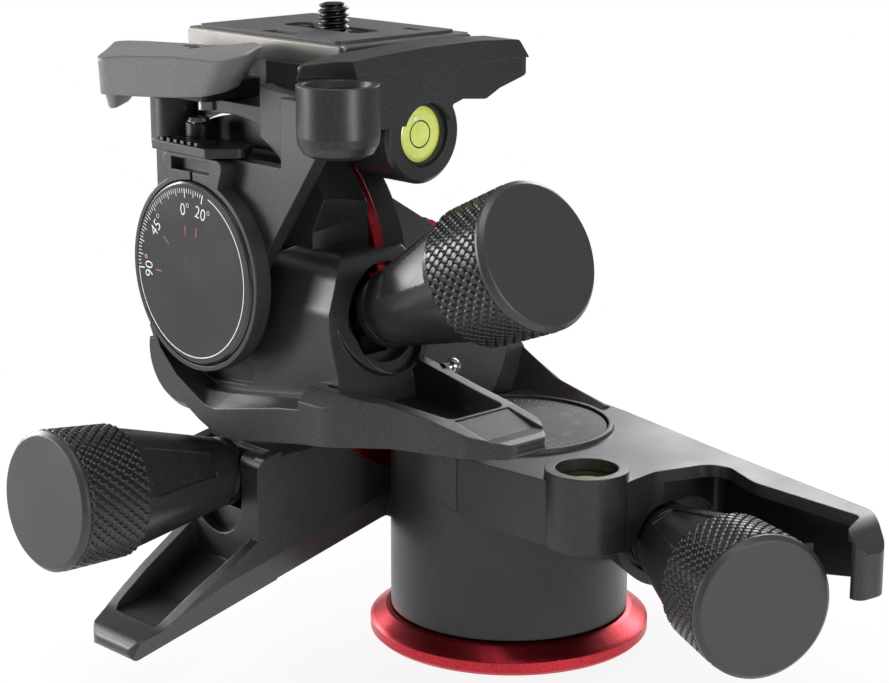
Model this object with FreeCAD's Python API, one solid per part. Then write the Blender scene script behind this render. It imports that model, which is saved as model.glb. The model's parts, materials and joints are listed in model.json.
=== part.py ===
import FreeCAD, Part
import math
import os

from FreeCAD import Vector

# Geared three-way tripod head.  Millimetres, +Z up.
# The origin is the centre of the base's underside, on the pan axis.
# -Y is the side with the tilt dial, +X is the side with the upper knob.

# ---------------------------------------------------------------- clearances
RUN_FIT = 0.05            # radial play of a shaft in its bearing
GAP = 0.3                 # free space between pieces that move past each other

# ---------------------------------------------------------------- gearing
MODULE = 0.75             # one module for all three worm drives
WORM_PITCH_R = 4.4
TOOTH_ADD = 0.6           # stub teeth, so that a short swing frees the worm
TOOTH_DED = 0.75
TOOTH_HALF = 0.5          # half tooth thickness on the pitch line
FLANK = math.tan(math.radians(20))
WHEEL_WIDTH = 3.6
PAN_TEETH = 40
FRONT_TEETH = 36          # tilt about Y, read on the dial
SIDE_TEETH = 56           # tilt about X
WORM_TURNS = 3            # odd, so that the thread faces a gap of the wheel

# ---------------------------------------------------------------- knob drives
SPINDLE_R = 3.0
ARM = 16.0                # swing arm: pivot pin to worm centre
RELEASE = 4.6             # degrees of squeeze that lift the worm off its wheel
PIN_R = 2.0
BOSS_R = 3.7
CHEEK_IN = 8.2            # bearing cheeks of the swing arm, from the worm centre
CHEEK_OUT = 13.0
CHEEK_TOP = 4.2
PIN_HALF = 7.5
SPINDLE_END = 11.0        # blind end of the spindle behind the worm
ARM_HALF = 5.4            # half width of the swing arm
ARM_BACK = 6.0            # worm axis to the inside of the arm's back bar
BAR = 2.4                 # thickness of the back bar
KNOB_LENGTH = 45.0
KNOB_NECK_R = 7.3
KNOB_WAIST_R = 12.9
KNOB_CORE_R = 11.4
KNOB_RIM_R = 14.2
COLLAR = 3.0
GRIP_WIDTH = 14.5
CAP_DEPTH = 1.6
SPINDLE_GRIP = 8.0        # how far the spindle reaches into the knob

# ---------------------------------------------------------------- axes
FRONT_X = -24.0           # front tilt axis, parallel to Y
FRONT_Z = 84.0
SIDE_Y = -7.5             # side tilt axis, parallel to X
SIDE_Z = 60.2
UPPER_KNOB_Y = -43.0
UPPER_KNOB_RISE = 23.0    # degrees
UPPER_KNOB_REACH = 72.8   # worm centre to knob face
LEFT_KNOB_X = -35.0
LEFT_KNOB_RISE = 4.0
LEFT_KNOB_REACH = 85.5
PAN_KNOB_Z = 29.5
PAN_KNOB_TURN = 23.7      # degrees from +X towards -Y
PAN_KNOB_REACH = 80.0

# ---------------------------------------------------------------- base
BASE_R = 30.0
BASE_H = 5.6
BASE_RIM_H = 3.4
BASE_SHOULDER_R = 26.6
COLUMN_R = 10.0
COLUMN_TOP = 43.2
INSERT_R = 7.0
INSERT_DEPTH = 13.0
TRIPOD_THREAD_R = 4.76    # 3/8 inch

# ---------------------------------------------------------------- pan housing
PAN_R = 25.5
DECK_Z = 45.0
PAN_WALL = 3.4
DIAL_R = 20.7
DIAL_T = 1.5
SEAM_Z = 30.7
SEAM_TURN = 46.5
PAN_BOTTOM = BASE_H + 0.5
HOLLOW_TOP = 20.5
BUSH_R = COLUMN_R + 1.2
BUSH_TOP = 26.8
SOCKET_R = KNOB_NECK_R + 4.0
WING_FLOOR = 20.0
WING_SKIN = 2.6
LEVEL_X = 36.4            # round level on the deck
LEVEL_Y = -15.1
LEVEL_R = 8.4
LEVEL_BORE = 6.3
LEVEL_FLOOR = 39.5
BOSS_FLOOR = 21.0
VIAL_R = 5.5

# ---------------------------------------------------------------- tower
TOWER_LEFT = -47.0
TOWER_RIGHT = -21.5
HUB_R = 27.5
BLOCK_TOP = 43.0
COVER_R = 22.0
COVER_T = 2.2
SIDE_RING_R = 27.2
SIDE_SHAFT_R = 6.0
TRUNK_R = 14.0

# ---------------------------------------------------------------- middle body
DIAL_FACE_Y = -65.0
FRONT_DIAL_R = 18.3
DIAL_SEAT_R = 19.6
ARM_FRONT = -61.0         # the top body's front arm, behind the dial
ARM_REAR = -57.8
ARM_HUB_R = 11.2
FACE_Y = -57.3            # front face of the middle body, behind the arm
HOOD_Y = -52.0            # front of the drum that covers the front worm wheel
HOOD_R = 30.0
DRUM_R = 29.0
DRUM_FRONT = -39.6
DRUM_BACK = -32.8
RING_FRONT = -41.9
RING_R = 29.0
RING_INNER = 20.0
FRONT_SHAFT_R = 5.0
HUB_TUBE_R = 8.0
TUBE_END = -41.2          # far end of the top body's hub tube
BARREL_R = 12.3
MOUTH = 27.0              # worm centre to the rim of the knob's opening
MOUTH_R = 9.4
MIDDLE_LEFT = -20.0       # the middle body starts here beside the tower
TRUNK_X = -19.7
TRUNK_RIGHT = -8.0

# ---------------------------------------------------------------- top body
PLATE_X = (-48.0, 0.8)
PLATE_Y = (-46.8, -12.2)
DOVETAIL = 2.6            # the plate's foot, under the jaw
DOVETAIL_H = 1.8
PAD_T = 0.6
PAD_INSET = 2.4
CLAMP_UNDER = 114.6
CLAMP_T = 10.4
CLAMP_TOP = CLAMP_UNDER + CLAMP_T
PLATE_T = 4.4
PLATE_TOP = CLAMP_TOP + PLATE_T
CLAMP_FRONT = -47.5       # front of the block under the plate
JAW_LEFT = 2.4
JAW_RIGHT = 11.6
JAW_FRONT = -59.3
JAW_RISE = 4.3            # the jaw's highest point above the clamp
POCKET_FLOOR = 107.4      # pocket of the thumb catch, above the dial
POCKET_RIGHT = -0.8
POCKET_STEP = -11.2       # the pocket is shallower right of this
POCKET_BACK = -54.5
COLUMN_X = -39.6          # round column at the front arm's upper left corner
COLUMN_Y = -55.8
CORNER_R = 5.4
CATCH_X = -30.0
CATCH_Y = -57.8
CATCH_PIN_R = 1.4
CATCH_PIN_TOP = 113.0
CUP_X = 15.6
CUP_Y = -60.8
CUP_R = 7.7
CUP_BORE = 5.9
CUP_TOP = CLAMP_TOP - 0.1
CUP_FLOOR = CUP_TOP - 6.5
CUP_BOTTOM = CUP_TOP - 13.3
SIDE_LEVEL_R = 9.6
SIDE_LEVEL_X = 10.3
SIDE_LEVEL_Y = -34.4
SIDE_LEVEL_Z = 112.2
SIDE_LEVEL_DEPTH = 5.0
LEVER_X = -31.5
LEVER_Y = -54.0
LEVER_UNDER = CLAMP_TOP - 4.0     # underside of the lever beside its thick tip
CAM_T = 4.0
LEVER_FLOOR = LEVER_UNDER - CAM_T
CAM_SWEEP_R = 11.6        # farthest corner of the cam block from its pivot
LEVER_T = 6.0
LEVER_TOP = LEVER_UNDER + LEVER_T
LEVER_RISE = 2.0
LEVER_CROWN = LEVER_TOP + LEVER_RISE      # highest part of the lever, over its pivot
GRIP_DROP = 4.0
LEVER_TIP = LEVER_UNDER - GRIP_DROP       # underside of the lever's thick grip
LEVER_BACK = -46.5        # the lever's edge stays in front of this as it turns
LEVER_PIN_R = 2.5
SCREW_HEAD_R = 3.8
SCREW_X = -20.5
SCREW_Y = -30.5
HEAD_R = 7.2
HEAD_T = 2.0
SCREW_R = 3.175           # 1/4 inch camera screw
SCREW_NECK_R = 2.6        # turned down where it runs in the plate
SCREW_OUT = 6.2


HEX_ANGLES = [math.radians(60 * k) for k in range(6)]


# ================================================================= helpers
def vec(plane, a, b, c):
    """Point (a, b) of the XY, XZ or YZ plane, at depth c across it."""
    if plane == "XY":
        return Vector(a, b, c)
    if plane == "XZ":
        return Vector(a, c, b)
    return Vector(c, a, b)


def rounded_wire(plane, points, depth, radius=0.0):
    """Closed outline with each corner rounded by its own or a common radius."""
    count = len(points)
    flat = [Vector(p[0], p[1], 0) for p in points]
    edges = []
    joints = []
    for i in range(count):
        here = flat[i]
        to_last = flat[i - 1] - here
        to_next = flat[(i + 1) % count] - here
        r = points[i][2] if len(points[i]) > 2 else radius
        if r <= 0:
            joints.append((here, None, here))
            continue
        half = to_last.getAngle(to_next) / 2
        cut = min(r / math.tan(half), 0.49 * to_last.Length, 0.49 * to_next.Length)
        r = cut * math.tan(half)
        start = here + to_last.normalize() * cut
        end = here + to_next.normalize() * cut
        middle = to_last + to_next
        middle.normalize()
        centre = here + middle * (r / math.sin(half))
        joints.append((start, centre - middle * r, end))

    def lift(p):
        return vec(plane, p.x, p.y, depth)

    for i in range(count):
        start, arc_mid, end = joints[i]
        if arc_mid is not None:
            edges.append(Part.Arc(lift(start), lift(arc_mid), lift(end)).toShape())
        following = joints[(i + 1) % count][0]
        if end.distanceToPoint(following) > 1e-6:
            edges.append(Part.LineSegment(lift(end), lift(following)).toShape())
    return Part.Wire(edges)


def prism(plane, points, start, end, radius=0.0):
    """Solid with a rounded outline, from depth start to depth end."""
    face = Part.Face(rounded_wire(plane, points, start, radius))
    return face.extrude(vec(plane, 0, 0, end - start))


def taper(plane, near_points, near, far_points, far, radius=0.0):
    """Solid between two outlines that have the same number of corners."""
    wires = [rounded_wire(plane, near_points, near, radius),
             rounded_wire(plane, far_points, far, radius)]
    return Part.makeLoft(wires, True, True)


def cylinder(r, base, direction, length):
    return Part.makeCylinder(r, length, Vector(*base), Vector(*direction))


def box(x, y, z):
    return Part.makeBox(x[1] - x[0], y[1] - y[0], z[1] - z[0], Vector(x[0], y[0], z[0]))


def turned(profile, base, direction):
    """Solid of revolution: profile is a list of (along, radius)."""
    points = [Vector(r, 0, along) for along, r in profile]
    points.append(points[0])
    face = Part.Face(Part.makePolygon(points))
    solid = face.revolve(Vector(0, 0, 0), Vector(0, 0, 1), 360)
    solid.Placement = FreeCAD.Placement(Vector(*base), FreeCAD.Rotation(Vector(0, 0, 1), Vector(*direction)))
    return solid


def joined(first, *others):
    return first.fuse(list(others)).removeSplitter()


def pick(shape, test):
    """Edges of a shape whose middle point passes a test."""
    found = []
    for edge in shape.Edges:
        middle = edge.valueAt((edge.FirstParameter + edge.LastParameter) / 2)
        if test(middle):
            found.append(edge)
    return found


def export(name, shape):
    shape = shape.removeSplitter() if shape.ShapeType != "Compound" else shape
    shape.exportStep("parts/" + name + ".step")
    print(name, shape.isValid(), len(shape.Solids), round(shape.Volume, 1))


# ================================================================= knob drives
class Drive:
    """Frame of one knob drive.  Local X runs from the worm to the knob, local Z
    from the worm to the wheel's centre, and local Y is parallel to the wheel's axis."""

    def __init__(self, centre, teeth, along, reach):
        self.teeth = teeth
        self.wheel_r = MODULE * teeth / 2
        self.spacing = self.wheel_r + WORM_PITCH_R
        self.reach = reach
        self.neck = reach - KNOB_LENGTH
        self.wheel_centre = Vector(*centre)
        self.along = Vector(*along)

    def orient(self, to_wheel):
        to_wheel = Vector(*to_wheel)
        across = to_wheel.cross(self.along)
        self.worm_centre = self.wheel_centre - to_wheel * self.spacing
        rotation = FreeCAD.Rotation(self.along, across, to_wheel, "XYZ")
        self.placement = FreeCAD.Placement(self.worm_centre, rotation)
        return self

    def place(self, shape):
        moved = shape.copy()
        moved.Placement = self.placement.multiply(moved.Placement)
        return moved


def front_drive():
    rise = math.radians(UPPER_KNOB_RISE)
    drive = Drive((FRONT_X, UPPER_KNOB_Y, FRONT_Z), FRONT_TEETH,
                  (math.cos(rise), 0, math.sin(rise)), UPPER_KNOB_REACH)
    return drive.orient((-math.sin(rise), 0, math.cos(rise)))


def side_drive():
    rise = math.radians(LEFT_KNOB_RISE)
    drive = Drive((LEFT_KNOB_X, SIDE_Y, SIDE_Z), SIDE_TEETH,
                  (0, -math.cos(rise), math.sin(rise)), LEFT_KNOB_REACH)
    return drive.orient((0, math.sin(rise), math.cos(rise)))


def pan_drive():
    turn = math.radians(PAN_KNOB_TURN)
    drive = Drive((0, 0, PAN_KNOB_Z), PAN_TEETH,
                  (math.cos(turn), -math.sin(turn), 0), PAN_KNOB_REACH)
    return drive.orient((-math.sin(turn), -math.cos(turn), 0))


def worm_wheel(drive, bore):
    """Toothed wheel, its teeth leaning by the worm's lead angle."""
    pitch_angle = 2 * math.pi / drive.teeth
    root = drive.wheel_r - TOOTH_DED
    tip = drive.wheel_r + TOOTH_ADD
    root_half = (TOOTH_HALF + TOOTH_DED * FLANK) / root
    tip_half = (TOOTH_HALF - TOOTH_ADD * FLANK) / tip
    lean = WHEEL_WIDTH / 2 * MODULE / (2 * WORM_PITCH_R) / drive.wheel_r

    def outline(y, twist):
        points = []
        for k in range(drive.teeth):
            middle = (k + 0.5) * pitch_angle + twist
            for radius, angle in ((root, -root_half), (tip, -tip_half), (tip, tip_half), (root, root_half)):
                a = middle + angle
                points.append(Vector(radius * math.sin(a), y, drive.spacing - radius * math.cos(a)))
        return Part.makePolygon(points + points[:1])

    half = WHEEL_WIDTH / 2
    wheel = Part.makeLoft([outline(-half, lean), outline(half, -lean)], True, True)
    hole = cylinder(bore, (0, -half - 1, drive.spacing), (0, 1, 0), WHEEL_WIDTH + 2)
    return drive.place(wheel.cut(hole))


def worm(drive):
    """Steel spindle with the worm's thread cut on it."""
    pitch = math.pi * MODULE
    length = pitch * WORM_TURNS
    root = WORM_PITCH_R - TOOTH_DED
    tip = WORM_PITCH_R + TOOTH_ADD
    deep = root - 0.25
    deep_half = TOOTH_HALF + (WORM_PITCH_R - deep) * FLANK
    tip_half = TOOTH_HALF - TOOTH_ADD * FLANK
    helix = Part.makeHelix(pitch, length, deep)
    corners = [Vector(deep, 0, -deep_half), Vector(tip, 0, -tip_half),
               Vector(tip, 0, tip_half), Vector(deep, 0, deep_half)]
    section = Part.makePolygon(corners + corners[:1])
    thread = Part.Wire(helix.Edges).makePipeShell([section], True, True)
    thread.translate(Vector(0, 0, -length / 2))
    half = CHEEK_IN - GAP
    spindle = turned([(-SPINDLE_END, 0), (-SPINDLE_END, SPINDLE_R), (-half, SPINDLE_R), (-half, root),
                      (half, root), (half, SPINDLE_R), (drive.neck + SPINDLE_GRIP, SPINDLE_R),
                      (drive.neck + SPINDLE_GRIP, 0)],
                     (0, 0, 0), (0, 0, 1))
    shape = spindle.fuse(thread)
    # the helix starts on its own +X side; turn that side to face the wheel
    shape.Placement = FreeCAD.Placement(Vector(0, 0, 0), FreeCAD.Rotation(Vector(0, 0, 1), Vector(0, 1, 0),
                                                                        Vector(1, 0, 0), "ZYX"))
    return drive.place(shape)


def swing_arm(drive):
    """Cradle that carries the worm between two bearing cheeks."""
    bottom = -ARM_BACK - BAR
    outline = [(-ARM - BOSS_R, -BOSS_R, 2), (-ARM + 2, -BOSS_R - 1, 3), (-CHEEK_IN - 1, bottom, 3),
               (CHEEK_OUT, bottom, 1), (CHEEK_OUT, CHEEK_TOP, 2),
               (CHEEK_IN, CHEEK_TOP, 1), (CHEEK_IN, -ARM_BACK, 1), (-CHEEK_IN, -ARM_BACK, 1),
               (-CHEEK_IN, CHEEK_TOP, 1), (-ARM, CHEEK_TOP, 3), (-ARM - BOSS_R, BOSS_R, 2)]
    arm = prism("XZ", outline, -ARM_HALF, ARM_HALF)
    bearing = cylinder(SPINDLE_R + RUN_FIT, (-SPINDLE_END - GAP, 0, 0), (1, 0, 0), SPINDLE_END + CHEEK_OUT + 1)
    pin_bore = cylinder(PIN_R + RUN_FIT, (-ARM, -2 * ARM_HALF, 0), (0, 1, 0), 4 * ARM_HALF)
    return drive.place(arm.cut(bearing).cut(pin_bore))


def room_floor(x):
    """Depth of the free space below the arm's back bar, local x from the worm."""
    return -ARM_BACK - BAR - 0.9 - (x + ARM) * math.sin(math.radians(RELEASE))


def swing_room(drive, far):
    """Space that the arm, worm and spindle need as they swing."""
    half = ARM_HALF + GAP
    room = prism("XZ", [(-ARM - BOSS_R - 0.8, -BOSS_R - 1.2, 1), (-ARM + 2, -BOSS_R - 2, 2),
                        (-CHEEK_IN - 1, room_floor(-CHEEK_IN - 1), 2),
                        (CHEEK_OUT + 0.8, room_floor(CHEEK_OUT + 0.8), 1),
                        (CHEEK_OUT + 0.8, CHEEK_TOP + 1.0, 1), (-ARM - BOSS_R - 0.8, CHEEK_TOP + 1.0, 1)], -half, half)
    swing = math.sin(math.radians(RELEASE))
    slot = SPINDLE_R + 0.5
    spindle_slot = box((CHEEK_OUT, far), (-slot, slot), (-slot - (far + ARM) * swing, slot))
    worm_room = cylinder(WORM_PITCH_R + TOOTH_ADD + GAP, (-CHEEK_IN, 0, 0), (1, 0, 0), 2 * CHEEK_IN)
    pin = cylinder(PIN_R, (-ARM, -PIN_HALF, 0), (0, 1, 0), 2 * PIN_HALF)
    return drive.place(joined(room, spindle_slot, worm_room, pin))


def knob_mouth(drive, start):
    """Opening that the knob's neck moves in, seen from the wheel's side."""
    swing = (drive.neck + ARM) * math.sin(math.radians(RELEASE)) + GAP
    r = KNOB_NECK_R + 1.0
    mouth = cylinder(r, (start, 0, 0), (1, 0, 0), 60)
    lower = cylinder(r, (start, 0, -swing), (1, 0, 0), 60)
    middle = box((start, start + 60), (-r, r), (-swing, 0))
    flare_start, flare_end = drive.neck + COLLAR, drive.reach - CAP_DEPTH - GRIP_WIDTH
    flare = turned([(flare_start, 0), (flare_start, r), (flare_end, KNOB_WAIST_R + 1.2), (flare_end, 0)],
                   (0, 0, 0), (1, 0, 0))
    flare_low = flare.copy()
    flare_low.rotate(Vector(-ARM, 0, 0), Vector(0, 1, 0), RELEASE)
    return drive.place(joined(mouth, lower, middle, flare, flare_low))


def pivot_pin(drive):
    return drive.place(cylinder(PIN_R, (-ARM, -PIN_HALF, 0), (0, 1, 0), 2 * PIN_HALF))


def leaf_spring(drive):
    """Bent strip that pushes the arm and its worm towards the wheel."""
    strip = prism("XZ", [(-6, room_floor(-6) + 0.2), (-6, room_floor(-6) + 0.5), (6, room_floor(6) + 0.3),
                         (6, room_floor(6))], -3.0, 3.0)
    return drive.place(strip)


def knob_body(drive):
    """Tapered handle with a collar at its neck and three flats pressed into the taper."""
    neck, face = drive.neck, drive.reach
    taper_start = neck + COLLAR
    grip = face - CAP_DEPTH - GRIP_WIDTH
    profile = [(neck, 0), (neck, KNOB_NECK_R), (neck + 1.8, KNOB_NECK_R), (neck + 1.8, KNOB_NECK_R - 0.5),
               (neck + 2.5, KNOB_NECK_R - 0.5), (taper_start, KNOB_NECK_R + 0.2), (grip, KNOB_WAIST_R),
               (grip, KNOB_CORE_R), (face - CAP_DEPTH, KNOB_CORE_R), (face - CAP_DEPTH, 0)]
    body = turned(profile, (0, 0, 0), (1, 0, 0))
    body = body.cut(cylinder(SPINDLE_R, (neck - 1, 0, 0), (1, 0, 0), SPINDLE_GRIP + 1))
    near = taper_start + 0.22 * (grip - taper_start)
    far = grip - 2.2

    def cone_r(x):
        return KNOB_NECK_R + 0.2 + (KNOB_WAIST_R - KNOB_NECK_R - 0.2) * (x - taper_start) / (grip - taper_start)

    def window(x, half, sink):
        low = cone_r(x) - sink
        return [(-half, low), (half, low), (half + 0.4, low + 5), (-half - 0.4, low + 5)]

    for k in range(3):
        flat = taper("YZ", window(near, 2.4, 0.7), near, window(far, 5.2, 1.5), far)
        flat.rotate(Vector(0, 0, 0), Vector(1, 0, 0), 120 * k + 60)
        body = body.cut(flat)
    return drive.place(body)


def knob_grip(drive):
    end = drive.reach - CAP_DEPTH
    start = end - GRIP_WIDTH
    band = turned([(start, KNOB_CORE_R), (start, KNOB_WAIST_R + 0.7), (end - 0.6, KNOB_RIM_R),
                   (end, KNOB_RIM_R - 0.4), (end, KNOB_CORE_R)], (0, 0, 0), (1, 0, 0))
    return drive.place(band)


def knob_cap(drive):
    start, face = drive.reach - CAP_DEPTH, drive.reach
    cap = turned([(start, 0), (start, KNOB_RIM_R - 0.1), (face - 0.9, KNOB_RIM_R - 0.1), (face, KNOB_RIM_R - 1.0),
                  (face, 0)], (0, 0, 0), (1, 0, 0))
    return drive.place(cap)


# ================================================================= base
def base_ring():
    profile = [(0, 0), (0, BASE_R - 0.8), (0.8, BASE_R), (BASE_RIM_H - 0.5, BASE_R), (BASE_RIM_H, BASE_R - 0.6),
               (BASE_H - 0.3, BASE_SHOULDER_R), (BASE_H, BASE_SHOULDER_R - 0.8), (BASE_H, 0)]
    ring = turned(profile, (0, 0, 0), (0, 0, 1))
    return ring.cut(cylinder(INSERT_R, (0, 0, -1), (0, 0, 1), BASE_H + 2))


def thread_insert():
    insert = turned([(0, TRIPOD_THREAD_R), (0, INSERT_R), (INSERT_DEPTH, INSERT_R),
                     (INSERT_DEPTH, TRIPOD_THREAD_R)], (0, 0, 0), (0, 0, 1))
    return insert


def pan_column():
    column = cylinder(COLUMN_R, (0, 0, BASE_H), (0, 0, 1), COLUMN_TOP - BASE_H)
    flange = cylinder(BASE_SHOULDER_R - 8, (0, 0, BASE_H), (0, 0, 1), 2.2)
    hole = cylinder(INSERT_R, (0, 0, 0), (0, 0, 1), INSERT_DEPTH)
    screw_hole = cylinder(2.0, (0, 0, COLUMN_TOP - 8), (0, 0, 1), 10)
    return joined(column, flange).cut(joined(hole, screw_hole))


def pan_dial():
    disc = turned([(COLUMN_TOP, 0), (COLUMN_TOP, DIAL_R), (DECK_Z + 0.1, DIAL_R), (DECK_Z + 0.4, DIAL_R - 0.3),
                   (DECK_Z + 0.4, 0)], (0, 0, 0), (0, 0, 1))
    return disc.cut(column_screw_blank())


def column_screw_blank():
    top = DECK_Z + 0.4
    return turned([(COLUMN_TOP - 8, 0), (COLUMN_TOP - 8, 2.0), (COLUMN_TOP, 2.0), (top, 3.6), (top, 0)],
                  (0, 0, 0), (0, 0, 1))


def column_screw():
    """Flat-headed screw that holds the scale disc on the column."""
    top = DECK_Z + 0.4
    socket = prism("XY", [(1.7 * math.cos(a), 1.7 * math.sin(a)) for a in HEX_ANGLES], top - 1.2, top + 1)
    return column_screw_blank().cut(socket)


# ================================================================= pan body
def pan_bores(drive):
    """Everything that has to stay free around the column, wheel and worm."""
    half = WHEEL_WIDTH / 2 + GAP
    wheel_room = cylinder(drive.wheel_r + TOOTH_ADD + GAP, (0, 0, PAN_KNOB_Z - half), (0, 0, 1), 2 * half)
    bearing = cylinder(BUSH_R, (0, 0, 0), (0, 0, 1), DECK_Z + 5)
    hollow = cylinder(PAN_R - PAN_WALL, (0, 0, 0), (0, 0, 1), HOLLOW_TOP)
    recess = cylinder(DIAL_R + GAP, (0, 0, COLUMN_TOP - GAP), (0, 0, 1), 10)
    return joined(wheel_room, bearing, hollow, recess, swing_room(drive, drive.neck - 2),
                  knob_mouth(drive, drive.neck - 3))


def pan_wing():
    """C-shaped channel behind the pan knob, open on the knob's side."""
    outer = prism("XY", [(-19, 27.5, 2), (-19, -5, 1), (20, -20, 4), (44.3, -13, 1), (43.2, -3, 6), (47.2, 9.4, 5),
                         (52, 10.4, 3), (61, 6.3, 10), (88.2, 4.4, 2), (90.4, -2.6, 1.2), (94.2, -3.4, 2), (95.2, 3.6, 4),
                         (87, 8.9, 5), (44.4, 17.9, 40), (9, 26.2, 12), (1, 27.5, 5)], WING_FLOOR, DECK_Z)
    pocket = prism("XY", [(44, -20), (91.6, -20, 1), (91.8, 4.4, 1.5), (88.4, 7.3, 2), (44, 16.6, 2)],
                   WING_FLOOR - 1, DECK_Z - WING_SKIN)
    top_round = prism("XZ", [(-60, 0), (-60, DECK_Z), (90, DECK_Z, 5), (97, 38, 3), (97, 0)], -60, 60)
    low_cut = prism("XZ", [(42, 10), (110, 10), (110, 31.8), (86, 31.4, 8), (68, 27.0, 12), (42, 21)], -40, 60)
    return outer.cut(pocket).cut(low_cut).common(top_round)


def pan_shell(drive):
    """Drum, level boss and knob socket, before the shells are parted."""
    drum = cylinder(PAN_R, (0, 0, PAN_BOTTOM), (0, 0, 1), DECK_Z - PAN_BOTTOM)
    socket = drive.place(cylinder(SOCKET_R, (drive.neck - 14, 0, -1.5), (1, 0, 0), 13.5))
    half = ARM_HALF + GAP + 2.2
    bulge = prism("XZ", [(-ARM - BOSS_R - 3, 4, 2), (-ARM - BOSS_R - 3, -BOSS_R - 3, 3), (-CHEEK_IN - 2, room_floor(0) - 2, 4),
                         (CHEEK_OUT + 3.4, room_floor(CHEEK_OUT) - 2, 3), (CHEEK_OUT + 3.4, 4, 2)], -half, half)
    return joined(drum, socket, drive.place(bulge))


def level_boss():
    boss = cylinder(LEVEL_R, (LEVEL_X, LEVEL_Y, BOSS_FLOOR), (0, 0, 1), DECK_Z + 2 - BOSS_FLOOR)
    return boss.makeChamfer(1.2, pick(boss, lambda p: p.z < BOSS_FLOOR + 0.01))


def pan_upper(drive):
    bridge = prism("XY", [(8, -24.2, 1), (LEVEL_X - 2, LEVEL_Y - 7.2, 2), (LEVEL_X + 6, LEVEL_Y, 2), (38, 5, 2),
                          (8, 5, 1)], BOSS_FLOOR + 4, DECK_Z)
    steps = [(TOWER_RIGHT, [(20, 40), (29.6, 40), (27.4, 52.3), (25.6, 54.0), (23.4, 47.5)]),
             (-11, [(20, 40), (28.6, 40), (27.2, 47.8), (25.4, 48.8), (23.2, 45.6)]),
             (5, [(20, 40), (27.0, 40), (25.9, 45.2), (24.6, 45.6), (23.0, 45.0)])]
    web = joined(taper("YZ", steps[0][1], steps[0][0], steps[1][1], steps[1][0]),
                 taper("YZ", steps[1][1], steps[1][0], steps[2][1], steps[2][0]))
    lip = turned([(DECK_Z - 2, DIAL_R + GAP), (DECK_Z + 0.9, DIAL_R + GAP), (DECK_Z + 0.9, DIAL_R + 1.2),
                  (DECK_Z - 2, DIAL_R + 2.4)], (0, 0, 0), (0, 0, 1))
    body = joined(pan_shell(drive), level_boss(), bridge, pan_wing(), web, lip)
    vial_bore = cylinder(LEVEL_BORE, (LEVEL_X, LEVEL_Y, LEVEL_FLOOR), (0, 0, 1), 20)
    index = box((24.6, 27.4), (-12.9, -10.3), (DECK_Z - 0.8, DECK_Z + 3))
    return body.cut(vial_bore).cut(index).cut(pan_bores(drive)).cut(upright()).common(seam_tool())


def seam_tool():
    """Everything above the curved joint line between the two pan shells."""
    points = [(-60, 70), (-60, 45.0), (-21.8, 44.6), (-20.5, 37.0, 8), (-8, 32.0, 10), (30, SEAM_Z),
              (31, BOSS_FLOOR - 1), (46, BOSS_FLOOR - 1), (130, 16), (130, 70)]
    tool = prism("XZ", points, -140, 140)
    tool.rotate(Vector(0, 0, 0), Vector(0, 0, 1), SEAM_TURN)
    return tool


def level_bezel(centre, direction, depth):
    """Ring that holds a round level in its bore."""
    base = Vector(*centre) - Vector(*direction) * depth
    return turned([(0, VIAL_R), (0, LEVEL_BORE), (depth - 0.6, LEVEL_BORE), (depth - 0.6, VIAL_R)],
                  (base.x, base.y, base.z), direction)


def level_vial(centre, direction, depth):
    base = Vector(*centre) - Vector(*direction) * depth
    return turned([(0, 0), (0, VIAL_R), (depth - 1.6, VIAL_R), (depth - 1.2, VIAL_R - 0.8), (depth - 1.2, 0)],
                  (base.x, base.y, base.z), direction)


def tower():
    """Upright that holds the side tilt axis."""
    hub = cylinder(HUB_R, (TOWER_LEFT, SIDE_Y, SIDE_Z), (1, 0, 0), TOWER_RIGHT - TOWER_LEFT)
    block = prism("YZ", [(-51.7, 14.0, 1), (-14.9, 22.3, 12), (4, 22, 8), (17, 22.5, 8), (28, 34, 8), (30, 46, 5), (25.6, 54.6, 5),
                         (14, 68, 10), (-7.5, 70), (-33, 62), (-33, BLOCK_TOP, 3), (-51.7, BLOCK_TOP, 3)],
                  TOWER_LEFT + 1.5, TOWER_RIGHT)
    return joined(hub, block).cut(tower_flat())


def tower_flat():
    """Everything above the tower's slanting rear flat."""
    return prism("YZ", [(-30, 103.1), (25, 69.9), (60, 69.9), (60, 120), (-30, 120)], TOWER_LEFT - 1, TOWER_RIGHT + 5)


def left_wing():
    """Channel under the side knob: two walls that fall towards a rounded tip."""
    profile = prism("YZ", [(-83.0, 6.6, 3), (-45, 15.2), (-45, 44), (-50.4, 43, 1), (-49.6, 27.0, 3), (-66.2, 18.2, 25),
                           (-75.5, 12.4, 8), (-83.4, 11.2, 3)], -46, TOWER_RIGHT)
    plan = prism("XY", [(-45.5, -44), (-45.5, -52, 4), (-42.6, -75, 8), (-37.5, -83.2, 5), (-22.6, -83.2, 2.5),
                        (TOWER_RIGHT, -60, 8), (TOWER_RIGHT, -44)], 0, 60)
    trough = prism("YZ", [(-76.0, 11.9, 1), (-64, 13.4, 3), (-51.5, 19.0, 5), (-46.5, 26, 3), (-46.5, 60), (-76.0, 60)],
                   -42.8, TOWER_RIGHT - 2.6)
    trough_plan = prism("XY", [(-42.9, -44), (-42.9, -52, 3), (-40.2, -74, 3), (-38.5, -76), (-25.2, -76),
                               (TOWER_RIGHT - 2.6, -60, 3), (TOWER_RIGHT - 2.6, -44)], 0, 60)
    return profile.common(plan).cut(trough.common(trough_plan))


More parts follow.
